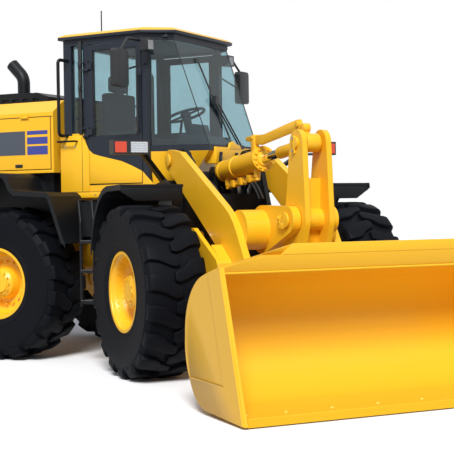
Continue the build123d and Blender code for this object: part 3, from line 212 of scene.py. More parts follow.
def tinted_glass(name, colour):
    """Green-blue safety glass: mostly clear, with a gloss that grows towards grazing angles."""
    material = bpy.data.materials.new(name)
    material.use_nodes = True
    tree = material.node_tree
    tree.nodes.remove(tree.nodes["Principled BSDF"])
    clear = add(tree, "ShaderNodeBsdfTransparent", values={"Color": colour})
    gloss = add(tree, "ShaderNodeBsdfGlossy", values={"Roughness": 0.02, "Color": (1, 1, 1, 1)})
    facing = add(tree, "ShaderNodeLayerWeight", values={"Blend": 0.5})
    steep = add(tree, "ShaderNodeMath", operation="POWER", links=[(0, facing, "Facing")], values={1: 4.0})
    weight = add(tree, "ShaderNodeMath", operation="MULTIPLY_ADD", links=[(0, steep, 0)], values={1: 0.2, 2: 0.04})
    mix = add(tree, "ShaderNodeMixShader", links=[("Fac", weight, 0), (1, clear, "BSDF"), (2, gloss, "BSDF")])
    tree.links.new(mix.outputs["Shader"], tree.nodes["Material Output"].inputs["Surface"])
    return material


# ---- mesh helpers
REAR, FRONT = "rear_half", "front_half"
MERGE = 1e-5                  # metres: corners closer than this are one corner
FLAT = math.radians(0.5)      # faces closer than this in slope are one face


def home(body):
    """Where a body's shapes are drawn in millimetres: the front half's stand straight ahead."""
    behind = body in (REAR, "rear_grille") or body.startswith(("cab_door", "hood_door", "wheel_rear"))
    return MM if behind else MM @ FRONT_TURN


def stand(name, data):
    """New object in the scene."""
    made = bpy.data.objects.new(name, data)
    bpy.context.collection.objects.link(made)
    return made


def as_mesh(name, shape):
    """Mesh of a drawn shape, its faces turned outwards."""
    mesh = bpy.data.meshes.new(name)
    bmesh.ops.recalc_face_normals(shape, faces=shape.faces)
    shape.to_mesh(mesh)
    shape.free()
    return mesh


def piece(name, mesh, material, body, place=None, bevel=0.0, smooth=SHARP):
    """Makes one finished piece: placed in its mesh, shaded, bevelled, riding on its CAD body."""
    place = home(body) if place is None else place
    if isinstance(mesh, bmesh.types.BMesh):
        mesh = as_mesh(name, mesh)
    mesh.transform(place)
    if place.determinant() < 0:
        mesh.flip_normals()
    made = stand(name, mesh)
    mesh.materials.clear()
    mesh.materials.append(MATERIALS[material])
    if bevel:
        edge = made.modifiers.new("Edge", "BEVEL")
        edge.width = bevel / 1000
        edge.segments = 2
        edge.limit_method = "ANGLE"
        edge.angle_limit = math.radians(SHARP)
        made.data = evaluated(made)
        made.modifiers.clear()
    made.data.shade_smooth()
    made.data.set_sharp_from_angle(angle=math.radians(smooth))
    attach(made, body)
    return made


def evaluated(made):
    """Mesh of an object with its modifiers applied."""
    graph = bpy.context.evaluated_depsgraph_get()
    graph.update()
    return bpy.data.meshes.new_from_object(made.evaluated_get(graph))


def drawn(steps):
    """Shape drawn in steps, each a helper from below followed by what it takes."""
    shape = bmesh.new()
    for draw, *takes in steps:
        draw(shape, *takes)
    return shape


def build(name, material, body, steps, bevel=0.0):
    """One piece from its drawing steps."""
    return piece(name, drawn(steps), material, body, bevel=bevel)


def both_sides(name, material, body, steps, bevel=0.0):
    """The shape that the steps draw on the right, and its mirror image on the left."""
    for side, turn in (("right", STILL), ("left", FLIP)):
        own = body + "_" + side if body in ("cab_door", "hood_door") else body
        piece(name + "_" + side, drawn(steps), material, own, home(own) @ turn, bevel)


def across(side, near, far):
    """Range along Y between two distances from the middle, on one side."""
    return sorted((side * near, side * far))


def box(shape, x0, x1, y0, y1, z0, z1):
    """Box between two places along each axis."""
    place = Matrix.Translation(((x0 + x1) / 2, (y0 + y1) / 2, (z0 + z1) / 2))
    bmesh.ops.create_cube(shape, size=1, matrix=place @ Matrix.Diagonal((x1 - x0, y1 - y0, z1 - z0, 1)))


def rod(shape, start, end, radius, sides=20, end_radius=None):
    """Round bar or cone from one point to another."""
    start, end = Vector(start), Vector(end)
    run = end - start
    turn = run.to_track_quat("Z", "Y").to_matrix().to_4x4()
    place = Matrix.Translation((start + end) / 2) @ turn
    bmesh.ops.create_cone(shape, cap_ends=True, segments=sides, radius1=radius,
                          radius2=radius if end_radius is None else end_radius, depth=run.length, matrix=place)


def hexagon(shape, centre, axis, radius, height):
    """Bolt head standing on a face: centre on the face, axis outwards."""
    axis = Vector(axis).normalized()
    rod(shape, centre, Vector(centre) + axis * height, radius, sides=6)


def slab(shape, outline, axis, low, high, lean=0.0, base=0.0):
    """Plate with its outline in the two axes other than the named one; it may lean forward above a base."""
    spread = {"x": lambda a, b, c: (c + lean * (b - base), a, b), "y": lambda a, b, c: (a, c, b),
              "z": lambda a, b, c: (a, b, c)}[axis]
    lower = [shape.verts.new(spread(a, b, low)) for a, b in outline]
    upper = [shape.verts.new(spread(a, b, high)) for a, b in outline]
    shape.faces.new(lower)
    shape.faces.new(list(reversed(upper)))
    for i in range(len(outline)):
        j = (i + 1) % len(outline)
        shape.faces.new((lower[i], upper[i], upper[j], lower[j]))


def lathe(shape, profile, segments):
    """Turns a closed profile of (place along Y, radius) about the Y axis."""
    rings = []
    for step in range(segments):
        angle = 2 * math.pi * step / segments
        rings.append([shape.verts.new((radius * math.sin(angle), along, radius * math.cos(angle)))
                      for along, radius in profile])
    for step in range(segments):
        here, there = rings[step], rings[(step + 1) % segments]
        for i in range(len(profile)):
            j = (i + 1) % len(profile)
            shape.faces.new((here[i], here[j], there[j], there[i]))


def tube(name, points, radius, material, body):
    """Hose through points, as a smooth tube of constant radius."""
    curve = bpy.data.curves.new(name, "CURVE")
    curve.dimensions = "3D"
    curve.bevel_depth = radius
    curve.bevel_resolution = 3
    curve.resolution_u = 8
    curve.use_fill_caps = True
    line = curve.splines.new("BEZIER")
    line.bezier_points.add(len(points) - 1)
    for point, at in zip(line.bezier_points, points):
        point.co = at
        point.handle_left_type = point.handle_right_type = "AUTO"
    carrier = stand(name + "_path", curve)
    mesh = evaluated(carrier)
    bpy.data.objects.remove(carrier)
    return piece(name, mesh, material, body, smooth=60)


def paint(material, *names):
    """Gives CAD nodes their finish."""
    for name in names:
        data = frame["nodes"][name].data
        data.materials.clear()
        data.materials.append(MATERIALS[material])


BODY_OF = {node: body for body, nodes in frame["record"]["behaviour"]["bodies"].items() for node in nodes}
SLOT_OF = {part["node"]: part["material_slot"] for part in frame["record"]["subparts"]}


def dress(node, material, bevel=0.0, smooth=SHARP):
    """Stands a merged, smoothly shaded copy of a CAD node in its place."""
    shape = bmesh.new()
    shape.from_mesh(frame["nodes"][node].data)
    bmesh.ops.remove_doubles(shape, verts=shape.verts, dist=MERGE)
    bmesh.ops.dissolve_limit(shape, angle_limit=FLAT, verts=shape.verts, edges=shape.edges)
    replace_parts(piece(node + "_dressed", shape, material, BODY_OF[node], STILL, bevel, smooth), node)


def repeat_tree():
    """Geometry Nodes: copies an object Count times, each moved by Step and turned by Turn from the last."""
    tree = bpy.data.node_groups.new("Repeat", "GeometryNodeTree")
    face = tree.interface
    face.new_socket("Geometry", in_out="OUTPUT", socket_type="NodeSocketGeometry")
    for name, kind in (("Shape", "Object"), ("Count", "Int"), ("Step", "Vector"), ("Turn", "Vector"),
                       ("Finish", "Material")):
        face.new_socket(name, in_out="INPUT", socket_type="NodeSocket" + kind)
    inputs = tree.nodes.new("NodeGroupInput")
    output = tree.nodes.new("NodeGroupOutput")
    index = add(tree, "GeometryNodeInputIndex")
    shift = add(tree, "ShaderNodeVectorMath", operation="MULTIPLY", links=[(0, inputs, "Step"), (1, index, 0)])
    turn = add(tree, "ShaderNodeVectorMath", operation="MULTIPLY", links=[(0, inputs, "Turn"), (1, index, 0)])
    points = add(tree, "GeometryNodePoints", links=[("Count", inputs, "Count"), ("Position", shift, 0)])
    shape = add(tree, "GeometryNodeObjectInfo", links=[("Object", inputs, "Shape")])
    copies = add(tree, "GeometryNodeInstanceOnPoints",
                 links=[("Points", points, 0), ("Instance", shape, "Geometry"), ("Rotation", turn, 0)])
    solid = add(tree, "GeometryNodeRealizeInstances", links=[("Geometry", copies, 0)])
    painted = add(tree, "GeometryNodeSetMaterial", links=[("Geometry", solid, 0), ("Material", inputs, "Finish")])
    tree.links.new(painted.outputs[0], output.inputs[0])
    return tree


def repeated(name, shape, count, material, body, place, step=(0, 0, 0), turn=(0, 0, 0), bevel=0.0, smooth=SHARP,
             start=STILL):
    """One piece made of many copies of a small shape in a line or a ring."""
    tree = bpy.data.node_groups.get("Repeat") or repeat_tree()
    unit = stand(name + "_unit", as_mesh(name + "_unit", shape))
    unit.data.transform(start)
    holder = stand(name + "_holder", bpy.data.meshes.new(name + "_holder"))
    modifier = holder.modifiers.new("Repeat", "NODES")
    modifier.node_group = tree
    values = {"Shape": unit, "Count": count, "Step": step, "Turn": turn, "Finish": MATERIALS[material]}
    for item in tree.interface.items_tree:
        if item.in_out == "INPUT":
            modifier[item.identifier] = values[item.name]
    mesh = evaluated(holder)
    for item in (unit, holder):
        bpy.data.objects.remove(item)
    return piece(name, mesh, material, body, place, bevel, smooth)


# ---- wheels
WHEELS = [
    # name, X of the axle, side
    ("front_right", HALF_BASE, -1), ("front_left", HALF_BASE, 1),
    ("rear_right", -HALF_BASE, -1), ("rear_left", -HALF_BASE, 1),
]
# tyre section from the bead out to the middle of the tread: place across the tyre, radius
TYRE_SECTION = [
    (-216, 346), (-228, 350), (-236, 364), (-239, 386), (-246, 398), (-247, 408), (-244, 412), (-251, 470),
    (-257, 540), (-260, 600), (-258, 632), (-254, 636), (-254, 642), (-250, 646), (-240, 672), (-226, 688),
    (-190, 696), (-100, 700), (0, 701),
]
TYRE_FACETS = 96
# a lug on the right half of the tread: place across, leading and trailing edge along the tread, radius of its top
LUG_STATIONS = [
    (-250, -50, 62, 640), (-258, -56, 66, 672), (-254, -58, 68, 700), (-240, -60, 70, 722), (-212, -62, 72, 732),
    (-150, -52, 84, 734.6), (-104, -32, 104, 734.8), (-60, 18, 128, 735), (-8, 44, 142, 735), (26, 62, 128, 735),
]
LUG_COLUMNS = 5               # corners along the top of a lug
LUG_FOOT = 9                  # how much further a lug's foot reaches than its top
LUG_DEPTH = 60
CARCASS_R = 690               # inside the tread's skin, where the feet of the lugs end


def lug_shape():
    """One deep lug wrapped round the tread, its foot sunk in the carcass."""
    shape = bmesh.new()
    rows = []
    for place, lead, trail, top in LUG_STATIONS:
        inward = min(top - LUG_DEPTH, CARCASS_R)
        foot = LUG_FOOT / TYRE_R
        row = [(lead / TYRE_R - foot, inward)]
        for column in range(LUG_COLUMNS):
            share = column / (LUG_COLUMNS - 1)
            row.append(((lead + (trail - lead) * share) / TYRE_R, top))
        row.append((trail / TYRE_R + foot, inward))
        rows.append([shape.verts.new((radius * math.sin(angle), place, radius * math.cos(angle)))
                     for angle, radius in row])
    for near, far in zip(rows, rows[1:]):
        for i in range(len(near) - 1):
            shape.faces.new((near[i], near[i + 1], far[i + 1], far[i]))
        shape.faces.new((near[-1], near[0], far[0], far[-1]))
    shape.faces.new(rows[0])
    shape.faces.new(list(reversed(rows[-1])))
    return shape


def make_wheels(sizes):
    """Four tyres with their lugs, rims, wheel nuts and hub bolts."""
    section = TYRE_SECTION + [(-along, radius) for along, radius in reversed(TYRE_SECTION[:-1])]
    rings = (("wheel_nuts_", (0, -62, 205), 13, 20, sizes.nuts), ("hub_bolts_", (0, -177, 112), 9, 8, sizes.bolts))
    for name, x, side in WHEELS:
        body = "wheel_" + name
        place = home(body) @ Matrix.Translation((x, side * HALF_TRACK, TYRE_R))
        if side > 0:
            place = place @ Matrix.Rotation(math.pi, 4, "Z")
        carcass = drawn([(lathe, section, TYRE_FACETS)])
        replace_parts(piece("tyre_carcass_" + name, carcass, "tyre", body, place, smooth=28), "tyre_" + name)
        turn = 2 * math.pi / sizes.lugs
        for half, start in (("outer", STILL), ("inner", Matrix.Rotation(turn / 2, 4, "Y") @ FLIP)):
            lugs = repeated("lugs_" + half + "_" + name, lug_shape(), sizes.lugs, "tyre", body, place,
                            turn=(0, turn, 0), bevel=4, smooth=40, start=start)
            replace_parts(lugs, "tyre_" + name)
        for kind, centre, radius, height, count in rings:
            head = drawn([(hexagon, centre, (0, -1, 0), radius, height)])
            repeated(kind + name, head, count, "enamel", body, place, turn=(0, 2 * math.pi / count, 0))
        dress("rim_" + name, "enamel", smooth=30)


# ---- cab
CAB_SIDE = 712                # outer face of the doors
SKIN = CAB_SIDE + 4           # outer face of the fixed skins
SILL, SKIRT_TOP = 1548, 1600
REAR_EDGE = -972
# upper edge of the yellow skin under the door glass, X and Z
SKIN_EDGE = [(-628, 2003), (-586, 1968), (-510, 1946), (-424, 1926), (-264, 1890), (-150, 1845), (-32, 1790)]
POST = (-724, -728)           # rear door post, X and Y of its hinges
HANDLE_X = -58


def cab_skins():
    """Yellow sheet on both sides of the cab, with its joints."""
    both_sides("cab_rear_skin", "enamel", REAR, [
        (slab, [(REAR_EDGE, SILL), (-634, SILL), (-634, 2000), (-652, 2031), (-676, 2080), (-690, 2125),
                (-700, 2150), (REAR_EDGE, 2150)], "y", -SKIN, -701)], bevel=3)
    both_sides("cab_door_skin", "enamel", "cab_door", [
        (slab, SKIN_EDGE + [(-32, 1680), (-628, 1680)], "y", -CAB_SIDE - 5, -CAB_SIDE + 1)], bevel=2)
    both_sides("cab_front_skin", "enamel", REAR, [
        (slab, [(-24, 1784), (96, 1660), (96, SILL), (-24, SILL)], "y", -CAB_SIDE - 5, -CAB_SIDE + 8)], bevel=2)
    both_sides("cab_skirt", "enamel", REAR, [
        (slab, [(REAR_EDGE, SKIRT_TOP), (-30, SKIRT_TOP), (-30, SILL), (REAR_EDGE, SILL)], "y",
         -CAB_SIDE - 7, -CAB_SIDE + 8)], bevel=2)
    both_sides("cab_seams", "seal", REAR, [
        (box, -715, -711, -SKIN - 2, -SKIN, 1606, 2140), (box, REAR_EDGE, -24, -SKIN - 4, -SKIN, 1603, 1607)])


def cab_trim():
    """Door handles, posts, rails, gaskets, drip rail and the antenna's base."""
    both_sides("door_handle", "abs", "cab_door", [
        (rod, (HANDLE_X, -738, 2150), (HANDLE_X, -738, 2700), 10, 12),
        *((rod, (HANDLE_X, -738, z), (HANDLE_X, -CAB_SIDE, z), 8, 10) for z in (2170, 2680)),
        (box, -100, -60, -724, -CAB_SIDE, 2010, 2050)])
    both_sides("door_post", "abs", REAR, [
        (box, -742, -706, -722, -698, 2160, 3060),
        *((rod, (*POST, low), (*POST, high), 14, 14) for low, high in ((2576, 2640), (2800, 2855)))], bevel=3)
    both_sides("corner_loop", "dark_enamel", REAR, [
        *((rod, (x, -706, 2095), (x, -775, 2095), 9, 10) for x in (-960, -770)),
        (rod, (-965, -775, 2095), (-765, -775, 2095), 9, 10)])
    both_sides("skin_studs", "zinc", REAR, [
        *((hexagon, (x, -SKIN, 2042), (0, -1, 0), 8, 5) for x in (-909, -795)),
        *((hexagon, (x, -SKIN - 3, 1575), (0, -1, 0), 7, 5) for x in (-560, -480))])
    x0, x1, z0, z1, width = -580, -78, 2130, 2960, 12
    both_sides("door_gaskets", "seal", "cab_door", [
        *((box, x, x + width, -706, -690, z0, z1) for x in (x0, x1 - width)),
        *((box, x0, x1, -706, -690, z, z + width) for z in (z0, z1 - width))])
    # thin dark joint between a corner pane and the windscreen, and the seal on its pillar
    both_sides("glass_joints", "seal", REAR, [
        (rod, (566, -486, 2032), (219, -514, 3018), 5, 8), (rod, (52, -700, 2034), (52, -700, 3016), 6, 8)])
    plan = [(-968, -738), (-5, -750), (262, -560), (262, 560), (-5, 750), (-968, 738)]
    build("drip_rail", "cab_enamel", REAR, [(slab, plan, "z", 3078, 3108)], bevel=4)
    build("antenna_base", "abs", REAR, [(rod, (-750, -300, 3150), (-750, -300, 3185), 22, 16, 12)])


def wipers():
    """Pantograph wiper of the windscreen: two arms from the cowl, and the blade."""
    build("wiper_arms", "abs", REAR, [
        (rod, (580, 130, 2030), (430, -120, 2500), 8, 8), (rod, (585, 70, 2030), (452, -150, 2440), 8, 8),
        (rod, (600, 130, 2010), (560, 130, 2030), 22, 12), (box, 425, 465, -165, -105, 2430, 2510)])
    build("wiper_blade", "hose", REAR, [(rod, (282, -205, 2880), (560, -60, 2090), 9, 6)])


def cowl_cover():
    """Yellow cover under the windscreen, its raised middle, two brackets, and a dark sheet below the cab that stands
    in for shade.
    """
    build("cowl_cover", "enamel", REAR, [
        (slab, [(468, 1852), (590, 1846), (597, 1930), (592, 2006), (560, 2010)], "y", -400, 400)], bevel=6)
    build("cowl_hump", "enamel", REAR, [
        (slab, [(-150, 1990), (-120, 2052), (-60, 2070), (0, 2044), (70, 2034), (120, 1990)], "x", 572, 596)],
        bevel=5)
    brackets = []
    for y in (-330, -20):
        brackets += [(box, 594, 606, y - 26, y + 26, 1856, 1930), (rod, (594, y, 1944), (618, y, 1944), 17, 16)]
    build("cowl_brackets", "abs", REAR, brackets, bevel=3)
    # dark sheet at the front of the rear frame below the cab: painted shade
    build("frame_shield", "dark_enamel", REAR, [(box, -272, -262, -330, 330, 1400, SILL)], bevel=2)


def cab_inside():
    """Dashboard, gauges, levers, bars behind the rear pane, lining and seat."""
    build("dashboard", "interior", REAR, [
        (slab, [(150, 1672), (500, 1980), (500, 2010), (330, 2130), (150, 2150), (90, 2060), (90, 1672)], "y",
         -330, 330)], bevel=14)
    build("gauges_and_levers", "interior", REAR, [
        (slab, [(110, 2150), (230, 2140), (200, 2250), (130, 2260)], "y", -150, 150),
        (box, -600, -250, -480, -300, 1672, 2190),
        (rod, (-330, -390, 2190), (-300, -390, 2330), 14, 10),
        (rod, (-260, 380, 2200), (-240, 380, 2340), 14, 10)], bevel=6)
    build("rear_guard_bars", "dark_enamel", REAR, [
        *((rod, (-895, -640, z), (-895, 640, z), 11, 10) for z in (2330, 2520)),
        *((rod, (-895, y, 2180), (-895, y, 3015), 9, 8) for y in (-360, 360))])
    build("cab_lining", "interior", REAR, [
        (box, -900, 190, -600, 600, 3040, 3076), (box, -885, -800, -600, 600, 1675, 2150)], bevel=10)
    seat = BODY_OF["seat"]
    soft = [build("seat_cushion", "vinyl", seat, [(box, -738, -222, -248, 248, 2012, 2128)], bevel=28),
            build("seat_back", "vinyl", seat, [(box, -818, -702, -238, 238, 2130, 2600)], bevel=30),
            build("head_rest", "vinyl", seat, [(box, -812, -715, -130, 130, 2615, 2778)], bevel=28)]
    hinge = build("seat_hinge", "abs", seat, [
        (box, -790, -735, -60, 60, 2590, 2625), (box, -818, -702, -200, 200, 2100, 2140)], bevel=3)
    for part in (*soft, hinge):
        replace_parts(part, "seat")


def mirrors():
    """Rounded housings of mirrors and work lamps, with the mirrors' arms and clamps."""
    dress("mirrors", "abs", bevel=9)
    both_sides("mirror_brackets", "abs", REAR, [
        (rod, (20, -712, 2960), (20, -760, 2960), 16, 12), (rod, (20, -715, 2790), (38, -1080, 2700), 9, 10),
        (box, -2, 6, -1200, -1150, 2690, 2740)])


# ---- hood
HOOD_SIDE = 750
PANEL_LOW, PANEL_HIGH = 1982, 2218            # blank plate and the stripes beside it
STRIPES = [(2180, PANEL_HIGH), (2086, 2155), (PANEL_LOW, 2067)]
VENT = (-2080, 0, 2630)
VENT_RUN = 600


def make_hood(sizes):
    """Stripes, blank plate, joints and latches of the hood, its louvres, exhaust collar and radiator core."""
    film = -HOOD_SIDE - 1000 * sizes.film, -HOOD_SIDE + 1
    seam = -HOOD_SIDE - 0.8, -HOOD_SIDE + 1
    both_sides("hood_stripes", "stripe", "hood_door", [(box, -1351, -1099, *film, *heights) for heights in STRIPES])
    both_sides("hood_blank_plate", "plate", "hood_door", [(box, -2050, -1375, *film, PANEL_LOW, PANEL_HIGH)])
    both_sides("hood_seams", "seal", REAR, [
        (box, -1067, -1062, *seam, 1835, 2350), (box, -2900, -1030, *seam, 2348, 2353)])
    both_sides("hood_latches", "abs", "hood_door", [
        (box, x, x + 90, -HOOD_SIDE - 8, -HOOD_SIDE + 1, 1860, 1890) for x in (-2500, -1500)], bevel=3)
    build("exhaust_bore", "soot", REAR, [(rod, (-2114, 0, 2991), (-2122, 0, 2999), 56, 32)])
    build("exhaust_collar", "exhaust", REAR, [(rod, (-1970, 0, 2630), (-1970, 0, 2662), 84, 32)], bevel=4)
    repeated("vent_louvres", drawn([(box, -12, 12, -380, 380, 0, 7)]), sizes.louvres, "abs", REAR,
             home(REAR) @ Matrix.Translation(VENT), step=(VENT_RUN / sizes.louvres, 0, 0), bevel=1.5)
    build("radiator_core", "seal", REAR, [(box, -2925, -2915, -555, 555, 1555, 2250)])


# ---- loader linkage, X and Z of its pins
CRANK_PIVOT = (2570, 1330)
CRANK_TOP = (2600, 1940)
TILT_BASE = (905, 1757)
BOOM_PIN = (780, 1870)
LIFT_PIN = (1500, 1175)
TILT_LINE = Vector((CRANK_TOP[0] - TILT_BASE[0], 0, CRANK_TOP[1] - TILT_BASE[1]))
TILT_RUN = TILT_LINE.normalized()
TILT_UP = Vector((-TILT_RUN.z, 0, TILT_RUN.x))
PORT_SIDE = -20               # ports and pipes stand a little to the right of the tilt cylinder
BOLT_RING = 86                # radius that the gland's bolts stand on
# flanges and clamps round the tilt cylinder: from, to, radius, sides
COLLARS = ((814, 840, 109.6, 40), (865, 889, 66, 32), (345, 375, 103, 40), (60, 110, 99, 40))
# outline of the bar that shows the bucket's position, X and Z
BAR = [(2592, 2000), (2534, 2130), (2484, 2130), (2280, 2104), (1900, 2050), (1545, 2046), (1544, 2013.5),
       (1836, 1961.5), (2360, 2027.5), (2498, 2058), (2554, 1984)]


def on_tilt(along, side=0, up=0):
    """Point beside the tilt cylinder: distance from its base pin, to the left, and above its axis."""
    return Vector((TILT_BASE[0], 0, TILT_BASE[1])) + TILT_RUN * along + Vector((0, side, 0)) + TILT_UP * up


def pin(centre, y0, y1, radius, sides=32):
    """Drawing step of a round bar across the machine."""
    return rod, (centre[0], y0, centre[1]), (centre[0], y1, centre[1]), radius, sides


def tilt_cylinder_fittings(bolts):
    """Gland with its ring of bolts, clamps, ports and pipes, the rod's sleeve, and the positioner."""
    tube_body, rod_body = "tilt_cylinder_tube", "tilt_cylinder_rod"
    build("tilt_gland", "enamel", tube_body, [(rod, on_tilt(near), on_tilt(far), radius, sides)
                                              for near, far, radius, sides in COLLARS], bevel=3)
    angles = [2 * math.pi / bolts * step for step in range(bolts)]
    build("tilt_gland_bolts", "enamel", tube_body, [
        (hexagon, on_tilt(874, BOLT_RING * math.cos(a), BOLT_RING * math.sin(a)), TILT_RUN, 13, 15) for a in angles])
    ports = []
    for along in (170, 765):
        ports += [(rod, on_tilt(along, PORT_SIDE, -80), on_tilt(along, PORT_SIDE, -150), 30, 20),
                  (hexagon, on_tilt(along, PORT_SIDE, -150), -TILT_UP, 26, 26)]
    ports += [(rod, on_tilt(170, PORT_SIDE, -165), on_tilt(520, PORT_SIDE, -150), 17, 14),
              (rod, on_tilt(765, PORT_SIDE, -165), on_tilt(580, PORT_SIDE, -160), 17, 14)]
    for along in (300, 460, 640):
        lump = on_tilt(along, PORT_SIDE, -140)
        ports.append((box, lump.x - 34, lump.x + 34, -52, 12, lump.z - 34, lump.z + 30))
    build("tilt_ports", "enamel", tube_body, ports, bevel=4)
    # yellow sleeve and eye round the end of the chrome rod
    length = TILT_LINE.length
    build("tilt_rod_sleeve", "enamel", rod_body, [
        (rod, on_tilt(length - 520), on_tilt(length - 60), 52, 28), pin(CRANK_TOP, -61, 61, 75)], bevel=3)
    # positioner: guide with its switch, bar, and the bar's clevis
    build("positioner_guide", "enamel", tube_body, [
        (box, 1660, 1730, -69, -20, 1900, 2056), (hexagon, (1695, -69, 2030), (0, -1, 0), 14, 10)], bevel=4)
    build("positioner_bar", "enamel", rod_body, [(slab, BAR, "y", -60, -37)], bevel=3)
    build("positioner_pins", "enamel", rod_body, [
        pin((2500, 2095), -70, -24, 26, 16), pin((2580, 2058), -62, -2, 38, 20),
        (box, 2556, 2604, -58, -6, 1990, 2058)], bevel=2)


def pin_covers():
    """Round covers over the pins, lock plates, and the caps at the top of the crank."""
    for name, body, centre, y, radius in (("crank_pin", "boom", CRANK_PIVOT, 220, 62),
                                          ("boom_pin", FRONT, BOOM_PIN, 482, 60),
                                          ("lift_pin", "boom", LIFT_PIN, 600, 52)):
        for side, sign in SIDES.items():
            build(name + "_" + side, "enamel", body, [pin(centre, sign * (y - 6), sign * (y + 10), radius)], bevel=3)
    locks, caps = [], []
    for sign in SIDES.values():
        plate = across(sign, 204, 232)
        locks += [(box, 2460, 2560, *plate, 1260, 1310), (box, 2460, 2502, *plate, 1290, 1370),
                  (hexagon, (2480, sign * 232, 1345), (0, sign, 0), 17, 12)]
        caps += [(box, 2563, 2597, *across(sign, 129, 147), 1855, 1995),
                 pin(CRANK_TOP, sign * 128, sign * 144, 46, 28)]
    build("crank_lock_plates", "enamel", "boom", locks, bevel=3)
    build("crank_top_caps", "enamel", "bell_crank", caps, bevel=3)
    build("crank_bolts", "zinc", "bell_crank", [
        (hexagon, (2580, -147, z), (0, -1, 0), 13, 10) for z in (1878, 1975)])


def hoses(radius):
    """Hoses from the valve up to the tilt cylinder and beside the boom, and pipes under the lift cylinders."""
    for index, y in enumerate((-150, -95, -40, 30, 90, 150)):
        path = [(600, y, 1290), (700, y * 1.1, 1560), (800, y, 1600 + 8 * index), (870, y * 0.9, 1570)]
        tube("valve_hose_%d" % index, path, radius, "hose", FRONT)
    for index, y in enumerate((-250, -205, 215, 260)):
        path = [(850, y, 1590), (960, y, 1680), (1120, y * 0.94, 1640), (1300, y * 0.86, 1500)]
        tube("boom_hose_%d" % index, path, radius, "hose", FRONT)
    clamps = []
    for y in (-280, -180, 190, 290):
        clamps += [(box, 820, 880, y - 22, y + 22, 1560, 1660), (hexagon, (850, y, 1660), (0, 0, 1), 12, 12)]
    build("hose_clamps", "zinc", FRONT, clamps, bevel=3)
    for side, sign in SIDES.items():
        start, end = Vector((400, sign * 515, 880)), Vector((1210, sign * 515, 1125))
        build("lift_pipes_" + side, "enamel", "lift_cylinder_tubes", [
            (rod, start + Vector((0, 0, -drop)), end + Vector((0, 0, -drop)), 9, 10) for drop in (84, 104)])


def make_linkage(sizes):
    """Everything that the linkage carries."""
    tilt_cylinder_fittings(sizes.bolts)
    pin_covers()
    hoses(1000 * sizes.hose)


# ---- bucket
BUCKET_HALF = 1249
GUARD_BASE, GUARD_BEND = 1000, 1108


def make_bucket(sizes):
    """Faces and rib of the spill guard, welds, edge bolts, and the painted bucket itself."""
    head, bead, half = 1000 * sizes.bolt, 1000 * sizes.weld, BUCKET_HALF
    build("guard_lip", "dull_shaded_bucket_enamel", "bucket", [
        (slab, [(-700, 1184), (-795, GUARD_BEND), (795, GUARD_BEND), (700, 1184)], "x", 3588, 3614, 0.08,
         GUARD_BEND)], bevel=4)
    # face of the spill guard, leaning out over the bucket
    build("guard_face", "dull_shaded_bucket_enamel", "bucket", [
        (slab, [(-half, GUARD_BASE), (-half, 1030), (-943, 1109), (943, 1109), (half, 1030), (half, GUARD_BASE)],
         "x", 3540, 3566, 0.418, GUARD_BASE)], bevel=2)
    build("bucket_welds", "dull_shaded_bucket_enamel", "bucket", [
        (rod, (3563, -half, 990), (3563, half, 990), bead, 10),
        (rod, (3852, -half, 39), (3852, half, 39), bead * 2 / 3, 8)])
    build("edge_bolts", "dull_shaded_bucket_enamel", "bucket", [
        (rod, (3730, y, 41), (3730, y, 55), head, 18, head * 0.7) for y in (-1140, -840, -480, -110, 260, 620, 960)])
    dress("bucket", "dull_shaded_bucket_enamel", smooth=28)
    dress("cutting_edge", "dull_shaded_bucket_enamel")


# ---- frames, fenders, lamps
FLAP_TOP = 2 * TYRE_R + 150
FLAP_FRONT = HALF_BASE + 0.120 * TYRE_R
TREAD_HEIGHTS = (597, 877, 1147)


def make_chassis():
    """Step treads, headlamp insides, fender flaps, and the plate and bolts of the front towers; the dark plate partly
    stands in for shade.
    """
    build("tread_ribs_right", "zinc", REAR, [
        (box, x, x + 8, -1165, -1030, z - 3, z + 3) for z in TREAD_HEIGHTS for x in range(-425, -295, 22)])
    build("step_face_right", "dark_enamel", REAR, [(box, -440, -281, -1152, -1148, 560, 600)])
    for side, sign in SIDES.items():
        low, high = across(sign, 792, 948)
        build("headlamp_reflector_" + side, "reflector", FRONT, [(box, 1069, 1071, low, high, 1932, 2023)])
        build("headlamp_ribs_" + side, "lens", FRONT, [
            (rod, (1078, low + 4, 1948 + 15 * step), (1078, high - 4, 1948 + 15 * step), 2.5, 6)
            for step in range(5)])
    # flap at the front end of each front fender
    for side, sign in SIDES.items():
        outline = [(sign * 645, FLAP_TOP), (sign * 1208, FLAP_TOP), (sign * 1208, FLAP_TOP - 34),
                   (sign * 1080, FLAP_TOP - 118), (sign * 645, FLAP_TOP - 118)]
        build("fender_flap_" + side, "dark_enamel", FRONT, [
            (slab, outline, "x", FLAP_FRONT - 14, FLAP_FRONT - 3)], bevel=3)
    # dark plate behind the tilt cylinder: partly the front frame's own dark paint, partly a dark sheet standing in
    # for the shade there
    build("tower_wall", "dark_enamel", FRONT, [
        (box, 772, 792, -385, 385, 1380, 1770),
        *((box, 792, 846, *span, 1400, 1520) for span in ((-380, -240), (240, 380)))], bevel=4)
    build("tower_bolts", "zinc", FRONT, [
        (hexagon, (x, sign * 360, z), (0, sign, 0), 16, 12)
        for x, z in ((300, 1180), (420, 1180), (300, 920), (420, 920), (1500, 1050), (1620, 1050))
        for sign in SIDES.values()])


# ---- camera, lamps, floor
EYE = (6.0653, -10.1857, 1.4521)
YAW, PITCH, ROLL = 2.0726, -0.0179, -0.0150
SENSOR = 36
FOCAL = 1195.9 / 454 * SENSOR          # from a focal length in pixels of a 454 pixel picture
KEY_TURN = (48, 0, 27)                 # degrees
FILL, FILL_SPREAD, FILL_TURN = 0.12, 50, (50, 0, -60)
SKY_TINT = (0.80, 0.86, 1.0, 1)
FLOOR_LIT, FLOOR_SEEN = 0.5, 0.98      # how much light the floor gives back, and how pale it looks
FLOOR_DROP = 0.001                     # metres under the tyres


